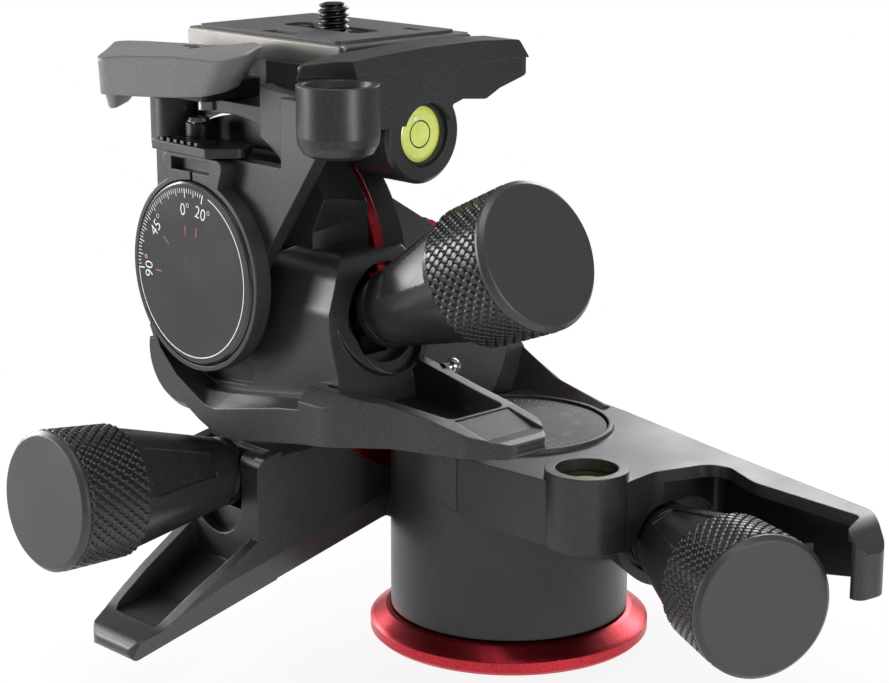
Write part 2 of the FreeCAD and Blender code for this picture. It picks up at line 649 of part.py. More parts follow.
def tower_rooms(drive):
    half = WHEEL_WIDTH / 2 + GAP
    wheel = cylinder(drive.wheel_r + TOOTH_ADD + GAP, (LEFT_KNOB_X - half, SIDE_Y, SIDE_Z), (1, 0, 0), 2 * half)
    bearing = cylinder(SIDE_SHAFT_R + RUN_FIT, (TOWER_LEFT + COVER_T, SIDE_Y, SIDE_Z), (1, 0, 0), 40)
    cover = cylinder(COVER_R, (TOWER_LEFT - 1, SIDE_Y, SIDE_Z), (1, 0, 0), 1 + COVER_T)
    return joined(wheel, bearing, cover, swing_room(drive, drive.neck - 2), knob_mouth(drive, drive.neck - 2))


def lower_edge_bevel():
    """Long bevel along the lower inside edge of the tower and wing."""
    return taper("YZ", [(-90, 0), (-14, 19.5), (-14, 22.3), (-90, 5.0)], TOWER_RIGHT - 2.5,
                 [(-90, 0), (-14, 19.5), (-14, 29.6), (-90, 12.6)], TOWER_RIGHT + 0.2)


def upright():
    """Tower and finger wing, before the rooms for shafts and gears are cut."""
    body = joined(tower(), left_wing()).cut(lower_edge_bevel())
    body = body.cut(cylinder(PAN_R - PAN_WALL, (0, 0, 0), (0, 0, 1), HOLLOW_TOP))
    return body.cut(cylinder(DIAL_R + 3, (0, 0, COLUMN_TOP - 5), (0, 0, 1), 20))


def pan_lower(pan, side):
    drum = pan_shell(pan).cut(seam_tool())
    return joined(drum, upright()).cut(pan_bores(pan)).cut(tower_rooms(side))


def column_bush():
    return turned([(HOLLOW_TOP + GAP, COLUMN_R + RUN_FIT), (HOLLOW_TOP + GAP, BUSH_R), (BUSH_TOP, BUSH_R),
                   (BUSH_TOP, COLUMN_R + RUN_FIT)], (0, 0, 0), (0, 0, 1))


def side_cover():
    disc = cylinder(COVER_R, (TOWER_LEFT, SIDE_Y, SIDE_Z), (1, 0, 0), COVER_T)
    return disc.makeChamfer(0.8, pick(disc, lambda p: p.x < TOWER_LEFT + 0.01))


def side_ring():
    ring = turned([(0, SIDE_RING_R - 3.4), (0, SIDE_RING_R), (1.2, SIDE_RING_R), (1.2, SIDE_RING_R - 3.4)],
                  (TOWER_RIGHT, SIDE_Y, SIDE_Z), (1, 0, 0))
    drum = cylinder(PAN_R + GAP, (0, 0, 0), (0, 0, 1), 60)
    ring = ring.cut(tower_flat()).cut(drum).cut(box((-30, 0), (18, 60), (0, 56)))
    return max(ring.Solids, key=lambda s: s.Volume)


# ================================================================= middle body
def arm_sweep():
    """Flat room in which the top body's front arm turns from -20 to 90 degrees."""
    x, z = FRONT_X, FRONT_Z
    points = [(x + 9.4, z - 7.4), (x + 50.0, z + 20.0), (x + 60, z + 60), (x - 60, z + 60), (x - 60, z - 17.2),
              (x - 12, z - 17.2, 6), (x + 1, z - 12.2, 5)]
    swing = prism("XZ", points, ARM_FRONT - GAP, ARM_REAR + GAP)
    return joined(swing, cylinder(ARM_HUB_R + GAP, (x, ARM_FRONT - GAP, z), (0, 1, 0), ARM_REAR - ARM_FRONT + 2 * GAP))


def wheel_window(drive):
    half = WHEEL_WIDTH / 2 + GAP
    x, z = FRONT_X, FRONT_Z
    wheel = cylinder(drive.wheel_r + TOOTH_ADD + GAP, (x, UPPER_KNOB_Y - half, z), (0, 1, 0), 2 * half)
    hub = cylinder(HUB_TUBE_R + GAP, (x, ARM_FRONT - 1, z), (0, 1, 0), RING_FRONT - GAP - ARM_FRONT + 1)
    return joined(wheel, hub)


def middle_core(drive):
    """Front housing between the dial and the upper knob, with the drum round the worm wheel."""
    block = prism("XZ", [(-45.6, 71, 4), (-44.4, 63, 5), (-40.4, 57.6, 6), (-35.6, 53.4, 6), (-29.5, 51.2, 5), (-15, 51.6, 5),
                         (12.5, 56.0, 2),
                         (11.5, 64.7, 2), (8.2, 76, 20), (8.4, 87, 4), (6, 90.3, 3), (-7, 90.3, 4), (-24, 84), (-44, 72)],
                  FACE_Y, -36.0)
    face_round = prism("YZ", [(-66, 100), (-50.5, 91.0, 3), (-55.2, 87.5, 5), (FACE_Y, 80, 6), (FACE_Y, 70), (-66, 70)],
                       -60, 40)
    hood = cylinder(HOOD_R, (FRONT_X, HOOD_Y, FRONT_Z), (0, 1, 0), RING_FRONT - HOOD_Y)
    side_cut = taper("XZ", [(4.4, 120), (4.0, 106), (-2.6, 93.6), (-2.6, 60), (40, 60), (40, 120)], HOOD_Y - 0.1,
                     [(4.4, 120), (1.6, 104), (2.4, 96.0), (2.8, 60), (40, 60), (40, 120)], RING_FRONT)
    barrel = drive.place(cylinder(BARREL_R, (3, 0, 0), (1, 0, 0), MOUTH - 3))
    return joined(block.cut(face_round), hood.cut(side_cut), barrel, end_boss())


def end_boss():
    """Round boss beside the worm's far end, cut flat where the tilted clamp and its lever pass."""
    boss = cylinder(12.0, (-50.0, -49.4, 60.0), (0, 1, 0), 13.4)
    boss = boss.makeChamfer(1.5, pick(boss, lambda p: p.y < -49.3))
    lever_way = box((-80, FRONT_X - (LEVER_UNDER - FRONT_Z) + GAP), (-60, LEVER_BACK), (40, 80))
    return boss.cut(box((-80, FRONT_X - (CLAMP_UNDER - FRONT_Z) + GAP), (-60, -30), (62.0, 80))).cut(lever_way)


def wing_plan():
    """Outline seen from above, shared by the lip and the finger wing."""
    return prism("XY", [(-60, -63.5), (13, -63.5, 12), (28, -58.4, 25), (43.5, -54.8, 5), (50.8, -49.5, 4),
                        (50.8, -41.5, 4), (44, -36.4, 5), (-60, -35.6)], 40, 80)


def chin():
    """Lip along the lower front that cups the dial and runs on as the finger wing."""
    under = [(-41.0, 71.0, 1), (-38.4, 66.0, 5), (-34.3, 60.9, 8), (-30.1, 56.3, 8), (-25.1, 53.7, 6),
             (-19.5, 51.6, 6), (-13.4, 51.7, 6), (6, 55.2, 10), (20, 57.2)]
    crest = [(20, 64.2), (-0.5, 61.0, 20), (-20.3, 56.8, 4), (-23.2, 57.2, 3), (-32.2, 61.6, 6), (-37.4, 66.4, 3),
             (-39.4, 71.0, 1)]
    inner = [(20, 66.3), (5.7, 63.4, 15), (-17.9, 59.9, 4), (-26.0, 59.2, 3), (-31.6, 61.2, 6), (-36.6, 64.2, 3),
             (-38.8, 71.0, 1)]
    front = taper("XZ", under + crest, -63.5, under + inner, -60.4)
    return joined(front, prism("XZ", under + inner, -60.4, FACE_Y + 2))


def front_wing():
    """Finger wing under the upper knob."""
    wing = prism("XZ", [(6, 55.2), (27, 57.8, 20), (50.2, 58.9, 1.5), (50.8, 61.4, 1), (44.5, 62.6, 3),
                        (36.5, 64.4, 4), (27, 66.0, 12), (14, 68.5, 4), (6, 70)], -63.5, -35.6)
    rim_fall = prism("YZ", [(-63.6, 63.6), (-60.4, 66.2), (-48, 66.6), (-35, 70.5), (-35, 90), (-70, 90),
                            (-70, 63.6)], 0, 60)
    channel = prism("XY", [(8, -58.8, 2), (26, -56.6, 10), (37, -52.8, 2), (37, -38.4, 2), (8, -38.4, 2)], 61.4, 80)
    slope = prism("XZ", [(37.6, 64.0), (45.0, 61.9), (52, 61.9), (52, 70), (37.6, 70)], -52.5, -38.4)
    return joined(chin(), wing.cut(rim_fall)).common(wing_plan()).cut(channel).cut(slope)


def trunk():
    """Beam from the front housing back to the side tilt axis."""
    beam = prism("YZ", [(-40, 56, 2), (-30, 50.8, 8), (SIDE_Y, SIDE_Z - TRUNK_R), (SIDE_Y + TRUNK_R, SIDE_Z),
                        (1.5, 72, 8), (-9, 84.5, 5), (-16.5, 90.5, 4), (-26.5, 96.6, 3), (-33, 97.5, 2), (-40, 80)],
                 TRUNK_X, TRUNK_RIGHT)
    beam = beam.cut(box((-30, 10), (SIDE_Y, 40), (0, SIDE_Z)))
    hub = cylinder(TRUNK_R, (TRUNK_X, SIDE_Y, SIDE_Z), (1, 0, 0), TRUNK_RIGHT - TRUNK_X)
    return joined(beam, hub)


def middle_housing(drive):
    body = joined(middle_core(drive), front_wing(), trunk())
    seat = cylinder(DIAL_SEAT_R + GAP, (FRONT_X, -70, FRONT_Z), (0, 1, 0), 70 + ARM_FRONT - GAP)
    shaft = cylinder(FRONT_SHAFT_R, (FRONT_X, -70, FRONT_Z), (0, 1, 0), 60)
    mouth = drive.place(cylinder(MOUTH_R, (MOUTH - 6, 0, 0), (1, 0, 0), 20))
    window = prism("XZ", [(-30.7, 61.6), (-28.6, 60.2), (-15.2, 61.4, 1), (-15.3, 69.9, 1), (-23.3, 64.5, 1)],
                   FACE_Y - 1, FACE_Y + 1.5)
    body = body.cut(joined(seat, arm_sweep(), wheel_window(drive), drum_relief()))
    body = body.cut(joined(swing_room(drive, drive.neck - 2), knob_mouth(drive, drive.neck - 3), mouth, shaft))
    ring_room = cylinder(RING_R, (FRONT_X, RING_FRONT, FRONT_Z), (0, 1, 0), DRUM_BACK - RING_FRONT)
    return body.cut(window).cut(ring_room)


def front_ring(drive):
    ring = turned([(0, RING_INNER), (0, RING_R), (DRUM_FRONT - RING_FRONT, RING_R), (DRUM_FRONT - RING_FRONT, RING_INNER)],
                  (FRONT_X, RING_FRONT, FRONT_Z), (0, 1, 0))
    ring = ring.cut(drum_relief()).cut(swing_room(drive, drive.neck)).cut(knob_mouth(drive, drive.neck - 3))
    return max(ring.Solids, key=lambda s: s.Volume)


def drum_relief():
    """Room that the tower needs while the middle body tilts past it."""
    return cylinder(HUB_R + GAP, (TOWER_LEFT - 20, SIDE_Y, SIDE_Z), (1, 0, 0), 20 + MIDDLE_LEFT - TOWER_LEFT)


def rear_drum(drive):
    drum = turned([(0, FRONT_SHAFT_R), (0, DRUM_R), (DRUM_BACK - DRUM_FRONT - 1.5, DRUM_R),
                   (DRUM_BACK - DRUM_FRONT, DRUM_R - 2.2), (DRUM_BACK - DRUM_FRONT, FRONT_SHAFT_R)],
                  (FRONT_X, DRUM_FRONT, FRONT_Z), (0, 1, 0))
    return drum.cut(drum_relief()).cut(swing_room(drive, drive.neck)).cut(knob_mouth(drive, drive.neck - 3))


def front_shaft():
    shaft = cylinder(FRONT_SHAFT_R, (FRONT_X, DIAL_FACE_Y + 2.4, FRONT_Z), (0, 1, 0), DRUM_BACK - DIAL_FACE_Y - 2.4)
    hub = cylinder(FRONT_DIAL_R, (FRONT_X, DIAL_FACE_Y + 2.4, FRONT_Z), (0, 1, 0), ARM_FRONT - GAP - DIAL_FACE_Y - 2.4)
    return joined(shaft, hub)


def front_dial():
    return turned([(0, 0), (0, FRONT_DIAL_R), (2.0, FRONT_DIAL_R), (2.4, FRONT_DIAL_R - 0.4), (2.4, 0)],
                  (FRONT_X, DIAL_FACE_Y + 2.4, FRONT_Z), (0, -1, 0))


def side_shaft():
    return cylinder(SIDE_SHAFT_R, (TOWER_LEFT + COVER_T + GAP, SIDE_Y, SIDE_Z), (1, 0, 0),
                    TRUNK_X - TOWER_LEFT - COVER_T - GAP)


# ================================================================= top body
def index_ring():
    """Ring round the dial with the bracket that carries the index mark."""
    front = DIAL_FACE_Y + 0.4
    ring = turned([(0, FRONT_DIAL_R + GAP), (0, DIAL_SEAT_R), (ARM_FRONT - front, DIAL_SEAT_R),
                   (ARM_FRONT - front, FRONT_DIAL_R + GAP)], (FRONT_X, front, FRONT_Z), (0, 1, 0))
    tab = prism("XZ", [(-31.4, 101.5), (-16.0, 101.5), (-13.9, POCKET_FLOOR, 1.5), (-34.6, POCKET_FLOOR, 2)],
                front, ARM_FRONT)
    opening = box((-30.4, -18.4), (front - 1, front + 2), (104.2, 106.7))
    notch = box((FRONT_X - 0.4, FRONT_X + 0.4), (front - 1, front + 0.8), (102.2, 104.5))
    inner = cylinder(FRONT_DIAL_R + GAP, (FRONT_X, front - 5, FRONT_Z), (0, 1, 0), 20)
    return joined(ring, tab.cut(inner)).cut(notch).cut(opening)


def top_arm():
    """Flat arm in front of the middle body, which ends in the round level's cup."""
    x, z = FRONT_X, FRONT_Z
    slant = math.radians(53.7)
    foot = (x + ARM_HUB_R * math.sin(slant), z - ARM_HUB_R * math.cos(slant))
    reach = 40
    blade = prism("XZ", [(-40, LEVER_FLOOR), (-40, 97, 8), (x - ARM_HUB_R, z + 1, 2), (x - ARM_HUB_R, z - 1), foot,
                         (foot[0] + reach * math.cos(slant), foot[1] + reach * math.sin(slant)),
                         (13.5, CLAMP_UNDER + 1.4), (13.5, CLAMP_TOP - 4.3), (POCKET_RIGHT, CLAMP_TOP - 4.3),
                         (POCKET_RIGHT, LEVER_FLOOR)], ARM_FRONT, ARM_REAR)
    hub = cylinder(ARM_HUB_R, (x, ARM_FRONT, z), (0, 1, 0), ARM_REAR - ARM_FRONT)
    tube = cylinder(HUB_TUBE_R, (x, ARM_FRONT, z), (0, 1, 0), TUBE_END - ARM_FRONT)
    brow = prism("XZ", [(-37, LEVER_FLOOR - 1), (-37, 108, 4), (-4, 108, 4), (2, LEVER_FLOOR - 1)],
                 ARM_REAR - 0.5, -50)
    brow = brow.cut(cylinder(HOOD_R + GAP + 0.3, (x, -70, z), (0, 1, 0), 40))
    return joined(blade, hub, tube, brow)


def jaw_relief(bottom, top):
    """Hollow round the level's cup that shapes the front of the jaw; wider below."""
    centre = Vector(17.6, -69.75, bottom)
    return Part.makeCone(18.2 - 0.3 * (bottom - CLAMP_TOP), 18.2 - 0.3 * (top - CLAMP_TOP), top - bottom, centre)


def clamp_block():
    """Body of the plate clamp, its underside stepped up behind the side level."""
    block = prism("XY", [(-45.5, -53, 4), (-40.5, ARM_FRONT + 0.4, 2), (JAW_RIGHT, ARM_FRONT + 0.4), (JAW_RIGHT, -6, 3),
                         (JAW_LEFT, -6.4, 3), (-42, -10, 5), (-45.5, -18, 5)], CLAMP_UNDER, CLAMP_TOP)
    step = CLAMP_TOP - 2.6
    rear = prism("YZ", [(-29, CLAMP_UNDER - 4.6), (-27.9, step - 4.8, 0.5), (-25.2, step - 4.0, 1), (-19, step - 4.6, 2),
                        (-15.2, step - 2.8, 1), (-5, step), (0, step), (0, CLAMP_UNDER - 4.6)], -60, 20)
    low_front = box((-80, JAW_LEFT), (-80, CLAMP_FRONT), (LEVER_FLOOR, CLAMP_TOP + 15))
    relief = jaw_relief(CLAMP_UNDER - 1, CLAMP_TOP + 1)
    wall = prism("XZ", [(POCKET_STEP, CLAMP_UNDER), (POCKET_STEP, step - 0.2, 0.5), (-8.5, step - 1.0, 8), (-2, step - 1.5),
                        (JAW_LEFT + 0.5, step - 1.7), (JAW_LEFT + 0.5, CLAMP_UNDER)], ARM_REAR + 0.4, POCKET_BACK)
    return joined(block.cut(rear).cut(low_front).cut(relief), wall)


def level_cup():
    profile = [(CUP_BOTTOM, 0), (CUP_BOTTOM, CUP_R - 2.6), (CUP_BOTTOM + 0.8, CUP_R - 1.1), (CUP_BOTTOM + 2.4, CUP_R - 0.2),
               (CUP_BOTTOM + 4, CUP_R), (CUP_TOP, CUP_R), (CUP_TOP, CUP_R - 1.3), (CUP_TOP - 1.4, CUP_BORE),
               (CUP_FLOOR, CUP_BORE), (CUP_FLOOR, 0)]
    return turned(profile, (CUP_X, CUP_Y, 0), (0, 0, 1))


def side_level_boss():
    boss = cylinder(SIDE_LEVEL_R, (SIDE_LEVEL_X - 22, SIDE_LEVEL_Y, SIDE_LEVEL_Z), (1, 0, 0), 22)
    return boss.makeChamfer(0.8, pick(boss, lambda p: p.x > SIDE_LEVEL_X - 0.01))


def catch_pocket():
    """Recess above the dial, shallower beside the cup."""
    shallow = box((-38.6, POCKET_RIGHT), (ARM_FRONT - 1, ARM_REAR + 0.4), (POCKET_FLOOR, LEVER_FLOOR + 20))
    deep = box((-38.6, POCKET_STEP), (ARM_FRONT - 1, POCKET_BACK), (POCKET_FLOOR, LEVER_FLOOR + 20))
    return joined(shallow, deep)


def top_housing():
    body = joined(top_arm(), clamp_block(), side_level_boss()).cut(catch_pocket())
    column = cylinder(CORNER_R, (COLUMN_X, COLUMN_Y, POCKET_FLOOR), (0, 0, 1), LEVER_FLOOR - POCKET_FLOOR)
    body = joined(body.cut(cylinder(CUP_R - 0.5, (CUP_X, CUP_Y, CUP_FLOOR), (0, 0, 1), 60)), level_cup(), column)
    shaft = cylinder(FRONT_SHAFT_R + RUN_FIT, (FRONT_X, -70, FRONT_Z), (0, 1, 0), 50)
    side_bore = cylinder(LEVEL_BORE, (SIDE_LEVEL_X - SIDE_LEVEL_DEPTH, SIDE_LEVEL_Y, SIDE_LEVEL_Z), (1, 0, 0), 30)
    sweep = cylinder(HOOD_R + GAP, (FRONT_X, HOOD_Y - GAP, FRONT_Z), (0, 1, 0), 30)
    tube = cylinder(HUB_TUBE_R, (FRONT_X, ARM_REAR, FRONT_Z), (0, 1, 0), TUBE_END - ARM_REAR)
    screw_hole = cylinder(LEVER_PIN_R, (LEVER_X, LEVER_Y, LEVER_FLOOR - 2.2), (0, 0, 1), 10)
    body = body.cut(joined(lever_room(), sweep.cut(tube)))
    return body.cut(joined(shaft, side_bore, screw_hole)).cut(right_jaw())


def lever_room():
    """Space over the clamp's front that the lever and its cam need as they turn."""
    room = cylinder(CAM_SWEEP_R + GAP, (LEVER_X, LEVER_Y, LEVER_FLOOR), (0, 0, 1), 20)
    corner = box((-80, -38), (-80, -45.6), (LEVER_UNDER - GAP, 140))
    return joined(room, corner)


def right_jaw():
    """Raised jaw along the plate's right side, its nose swept round the cup."""
    top = CLAMP_TOP + JAW_RISE
    jaw = prism("YZ", [(JAW_FRONT, CLAMP_TOP), (JAW_FRONT, top - 2.4, 1.8), (-54.3, top - 1.4, 6), (-47.5, top - 0.8, 12),
                       (-34, top - 0.1, 20), (-20, top, 10), (-9.8, top - 0.6, 1.5), (-7.0, CLAMP_TOP)],
                JAW_LEFT, JAW_RIGHT)
    foot = PLATE_X[1] + DOVETAIL + GAP
    inside = PLATE_X[1] - 1
    flank = prism("XZ", [(inside, CLAMP_TOP - 1), (foot, CLAMP_TOP - 1), (foot, CLAMP_TOP + 0.2),
                         (foot - DOVETAIL, CLAMP_TOP + DOVETAIL_H + 0.4), (inside, CLAMP_TOP + DOVETAIL_H + 0.4)],
                  PLATE_Y[0] - 1, PLATE_Y[1] + 1)
    return jaw.cut(jaw_relief(CLAMP_TOP - 1, top + 1.7)).cut(flank)


def plate_slots(bottom, top):
    """Screw slot and the two small openings of the plate."""
    main = prism("XY", [(-33.5, -34.0, 2.5), (-9.5, -34.0, 2.5), (-9.5, -27.0, 2.5), (-33.5, -27.0, 2.5)], bottom, top)
    front = prism("XY", [(-27.5, -44.4, 1), (-16.5, -44.4, 1), (-18.0, -41.4, 1), (-26.0, -41.4, 1)], bottom, top)
    right = prism("XY", [(-10.5, -21.4, 0.6), (-5.5, -21.4, 0.6), (-5.5, -19.4, 0.6), (-10.5, -19.4, 0.6)], bottom, top)
    return joined(main, front, right)


def qr_plate():
    (left, right), (front, back) = PLATE_X, PLATE_Y
    upper = prism("XY", [(left, front, 1.2), (right, front, 1.2), (right, back, 1.2), (left, back, 1.2)],
                  CLAMP_TOP, PLATE_TOP)
    upper = upper.makeChamfer(0.4, pick(upper, lambda p: p.z > PLATE_TOP - 0.01))
    foot = prism("XZ", [(right - 2, CLAMP_TOP), (right + DOVETAIL, CLAMP_TOP), (right, CLAMP_TOP + DOVETAIL_H),
                        (right - 2, CLAMP_TOP + DOVETAIL_H)], front + 1.2, back - 1.2)
    hole = cylinder(SCREW_R + 0.2, (SCREW_X, SCREW_Y, CLAMP_TOP - 1), (0, 0, 1), 12)
    head = cylinder(HEAD_R + GAP, (SCREW_X, SCREW_Y, CLAMP_TOP - 1), (0, 0, 1), 1 + HEAD_T + 2 * GAP)
    return joined(upper, foot).cut(plate_slots(PLATE_TOP - 1.0, PLATE_TOP + 1)).cut(hole).cut(head)


def pad():
    left, right = PLATE_X[0] + PAD_INSET, PLATE_X[1] - PAD_INSET
    front, back = PLATE_Y[0] + PAD_INSET - 1.0, PLATE_Y[1] - PAD_INSET
    sheet = prism("XY", [(left, front, 1.5), (right, front, 1.5), (right, back, 1.5), (left, back, 1.5)],
                  PLATE_TOP, PLATE_TOP + PAD_T)
    return sheet.cut(plate_slots(PLATE_TOP - 1, PLATE_TOP + 2))


def camera_screw():
    """Camera screw, its neck turned down between the head and the thread."""
    bottom = CLAMP_TOP + GAP
    thread = PLATE_TOP + PAD_T + 0.1
    top = PLATE_TOP + SCREW_OUT
    return turned([(bottom, 0), (bottom, HEAD_R), (bottom + HEAD_T, HEAD_R), (bottom + HEAD_T, SCREW_NECK_R),
                   (thread, SCREW_NECK_R), (thread, SCREW_R), (top - 0.8, SCREW_R), (top, SCREW_R - 0.8), (top, 0)],
                  (SCREW_X, SCREW_Y, 0), (0, 0, 1))


def qr_lever():
    """Clamp lever: flared upwards over the clamp's corner, with a thick curved grip."""
    low = [(-54.0, -59.6, 3), (-49.6, -56.0, 3), (-42.5, -52.4, 4), (-31, -50.4, 6), (-25.5, -51.0, 5), (-18.0, -57.0, 5),
           (-13.0, -64.0, 4), (-10.3, -71.2, 3), (-13.7, -76.3, 4), (-19, -80.0, 5), (-26.6, -83.4, 3), (-35.5, -77.0, 8)]
    high = [(-55.3, -59.2, 3), (-50.2, -55.0, 3), (-42.5, -51.6, 4), (-31, -49.4, 6), (-22.5, -49.4, 5), (-12.5, -54.6, 5),
            (-7.0, -62.4, 4), (-4.3, -71.2, 3), (-9.7, -77.3, 4), (-16, -80.5, 5), (-25.6, -84.6, 3), (-35.5, -77.8, 8)]
    handle = taper("XY", low, LEVER_UNDER, high, LEVER_CROWN + 1)
    crown = prism("XZ", [(-60, 100), (-60, LEVER_TOP), (-44, LEVER_TOP - 0.2, 20), (-31, LEVER_TOP, 15),
                         (-21, LEVER_CROWN - 0.3, 8), (-11, LEVER_CROWN, 4), (-3, LEVER_TOP + 0.4), (-3, 100)], -90, -40)
    grip = taper("XY", [(-53.6, -60.2, 3), (-48.6, -58.4, 3), (-35.5, -66.0, 3), (-26.5, -82.6, 3), (-35.5, -76.6, 8)],
                 LEVER_UNDER + 0.5, [(-50.0, -63.6, 2), (-48.0, -62.6, 2), (-38.5, -68.5, 2), (-31.0, -77.8, 2),
                                     (-36.5, -74.8, 5)], LEVER_TIP)
    hole = prism("XY", [(-38.6, -56, 2), (-24.4, -56, 2), (-24.4, -52.0, 2), (-38.6, -52.0, 2)], LEVER_TOP - 1.6,
                 LEVER_CROWN + 2)
    screw_seat = cylinder(SCREW_HEAD_R + 0.1, (LEVER_X, LEVER_Y, LEVER_TOP - 2.4), (0, 0, 1), 10)
    bore = cylinder(LEVER_PIN_R + RUN_FIT, (LEVER_X, LEVER_Y, 100), (0, 0, 1), 40)
    return joined(handle.common(crown), grip).cut(joined(hole, screw_seat)).cut(bore)


def lever_cam():
    """Cam block under the lever that presses the jaw when the lever turns."""
    block = prism("XY", [(-37.3, -60.2, 1), (-25.0, -60.2, 1), (-25.0, -45.6, 1), (-37.3, -45.6, 3)], LEVER_FLOOR + GAP,
                  LEVER_UNDER)
    bore = cylinder(LEVER_PIN_R + RUN_FIT, (LEVER_X, LEVER_Y, 100), (0, 0, 1), 40)
    return block.cut(bore)


def lever_screw():
    return turned([(LEVER_FLOOR - 2.2, 0), (LEVER_FLOOR - 2.2, LEVER_PIN_R), (LEVER_TOP - 2.1, LEVER_PIN_R),
                   (LEVER_TOP - 2.1, SCREW_HEAD_R - 0.3), (LEVER_TOP - 0.8, SCREW_HEAD_R - 0.3), (LEVER_TOP - 0.8, 0)],
                  (LEVER_X, LEVER_Y, 0), (0, 0, 1))


def catch_pin():
    """Pin of the thumb catch with its domed head."""
    top = CATCH_PIN_TOP
    return turned([(POCKET_FLOOR, 0), (POCKET_FLOOR, CATCH_PIN_R), (top, CATCH_PIN_R), (top, CATCH_PIN_R + 0.9),
                   (top + 0.8, CATCH_PIN_R + 0.5), (top + 1.1, 0)], (CATCH_X, CATCH_Y, 0), (0, 0, 1))


def catch_ribs(low):
    return [box((x, x + 1.0), (-65.2, -60.6), (low + 1.7, low + 2.4)) for x in (-33.0, -30.8, -28.6, -26.4, -24.2, -22.0)]


def thumb_catch():
    """Ribbed thumb plate that turns on the catch pin."""
    low = POCKET_FLOOR + 0.5
    plate = prism("XY", [(-36.4, -62.8, 1), (-32.6, -58.6, 2), (-27, -55.2, 1), (-15.2, -56.2, 1), (-12.4, -60.6, 2),
                         (-17, -66.4, 1), (-35.4, -66.0, 2)], low, low + 1.8)
    hub = cylinder(2.6, (CATCH_X, CATCH_Y, low), (0, 0, 1), CATCH_PIN_TOP - GAP - low)
    bore = cylinder(CATCH_PIN_R + RUN_FIT, (CATCH_X, CATCH_Y, low - 1), (0, 0, 1), 12)
    return joined(plate, hub, *catch_ribs(low)).cut(bore)


def export_drive(name, drive):
    export(name + "_worm", worm(drive))
    export(name + "_swing_arm", swing_arm(drive))
    export(name + "_pivot_pin", pivot_pin(drive))
    export(name + "_leaf_spring", leaf_spring(drive))
    export(name + "_knob_body", knob_body(drive))
    export(name + "_knob_grip", knob_grip(drive))
    export(name + "_knob_cap", knob_cap(drive))


def main():
    os.makedirs("parts", exist_ok=True)
    front, side, pan = front_drive(), side_drive(), pan_drive()
    export("base_ring", base_ring())
    export("thread_insert", thread_insert())
    export("pan_column", pan_column())
    export("pan_dial", pan_dial())
    export("column_screw", column_screw())
    export("pan_worm_wheel", worm_wheel(pan, COLUMN_R))
    export("pan_upper_housing", pan_upper(pan))
    export("pan_lower_housing", pan_lower(pan, side))
    export("column_bush", column_bush())
    deck_level = (LEVEL_X, LEVEL_Y, DECK_Z)
    export("deck_level_bezel", level_bezel(deck_level, (0, 0, 1), DECK_Z - LEVEL_FLOOR))
    export("deck_level_vial", level_vial(deck_level, (0, 0, 1), DECK_Z - LEVEL_FLOOR))
    export("side_cover", side_cover())
    export("side_ring", side_ring())
    export_drive("pan", pan)
    export_drive("side", side)
    export("side_shaft", side_shaft())
    export("side_worm_wheel", worm_wheel(side, SIDE_SHAFT_R))
    export("middle_housing", middle_housing(front))
    export_drive("front", front)
    export("front_ring", front_ring(front))
    export("rear_drum", rear_drum(front))
    export("front_shaft", front_shaft())
    export("front_dial", front_dial())
    export("index_ring", index_ring())
    export("front_worm_wheel", worm_wheel(front, HUB_TUBE_R))
    export("top_housing", top_housing())
    export("right_jaw", right_jaw())
    side_level = (SIDE_LEVEL_X, SIDE_LEVEL_Y, SIDE_LEVEL_Z)
    export("side_level_bezel", level_bezel(side_level, (1, 0, 0), SIDE_LEVEL_DEPTH))
    export("side_level_vial", level_vial(side_level, (1, 0, 0), SIDE_LEVEL_DEPTH))
    export("cup_level_vial", level_vial((CUP_X, CUP_Y, CUP_FLOOR + 4.0), (0, 0, 1), 4.0))
    export("qr_lever", qr_lever())
    export("lever_cam", lever_cam())
    export("lever_screw", lever_screw())
    export("catch_pin", catch_pin())
    export("thumb_catch", thumb_catch())
    export("qr_plate", qr_plate())
    export("plate_pad", pad())
    export("camera_screw", camera_screw())


main()
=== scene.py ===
# %% [markdown]
# # Dressing a geared tripod head
# The real thing is a camera support that tilts on two axes and turns on a third, each moved by a knob
# through a worm gear.  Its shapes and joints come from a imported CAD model, the frame.  This lesson gives
# every piece its finish, and adds what is too fine for the CAD: knurls, threads, printed scales, levels.
# The frame is loaded first, because every new piece rides on one of its bodies.

import json
import math

import bpy
import numpy as np
from mathutils import Matrix, Vector


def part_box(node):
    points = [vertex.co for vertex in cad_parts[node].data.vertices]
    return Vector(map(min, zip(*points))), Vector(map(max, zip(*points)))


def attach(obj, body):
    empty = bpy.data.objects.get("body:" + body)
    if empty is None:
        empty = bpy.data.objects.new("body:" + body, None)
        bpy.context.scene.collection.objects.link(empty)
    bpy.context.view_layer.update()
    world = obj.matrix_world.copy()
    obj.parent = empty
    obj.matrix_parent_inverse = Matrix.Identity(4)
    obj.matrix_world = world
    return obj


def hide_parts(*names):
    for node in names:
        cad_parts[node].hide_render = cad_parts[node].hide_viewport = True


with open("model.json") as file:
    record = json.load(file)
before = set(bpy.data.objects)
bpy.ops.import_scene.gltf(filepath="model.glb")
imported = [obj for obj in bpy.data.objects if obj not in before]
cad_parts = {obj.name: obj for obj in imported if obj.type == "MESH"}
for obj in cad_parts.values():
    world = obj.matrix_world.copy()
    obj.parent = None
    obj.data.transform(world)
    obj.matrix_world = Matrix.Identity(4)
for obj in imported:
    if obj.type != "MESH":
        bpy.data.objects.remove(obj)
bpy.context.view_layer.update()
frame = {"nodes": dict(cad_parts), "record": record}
MM = 0.001

# %% [markdown]
# ## Camera
# The head is seen from a little above, with the tilt dial to the left and the upper knob to the right.
# A long lens from half a metre keeps the near knobs from swelling.  The camera could be aimed by eye, but
# its place, turn and drop are known in the object's own frame, so they are simply written down.

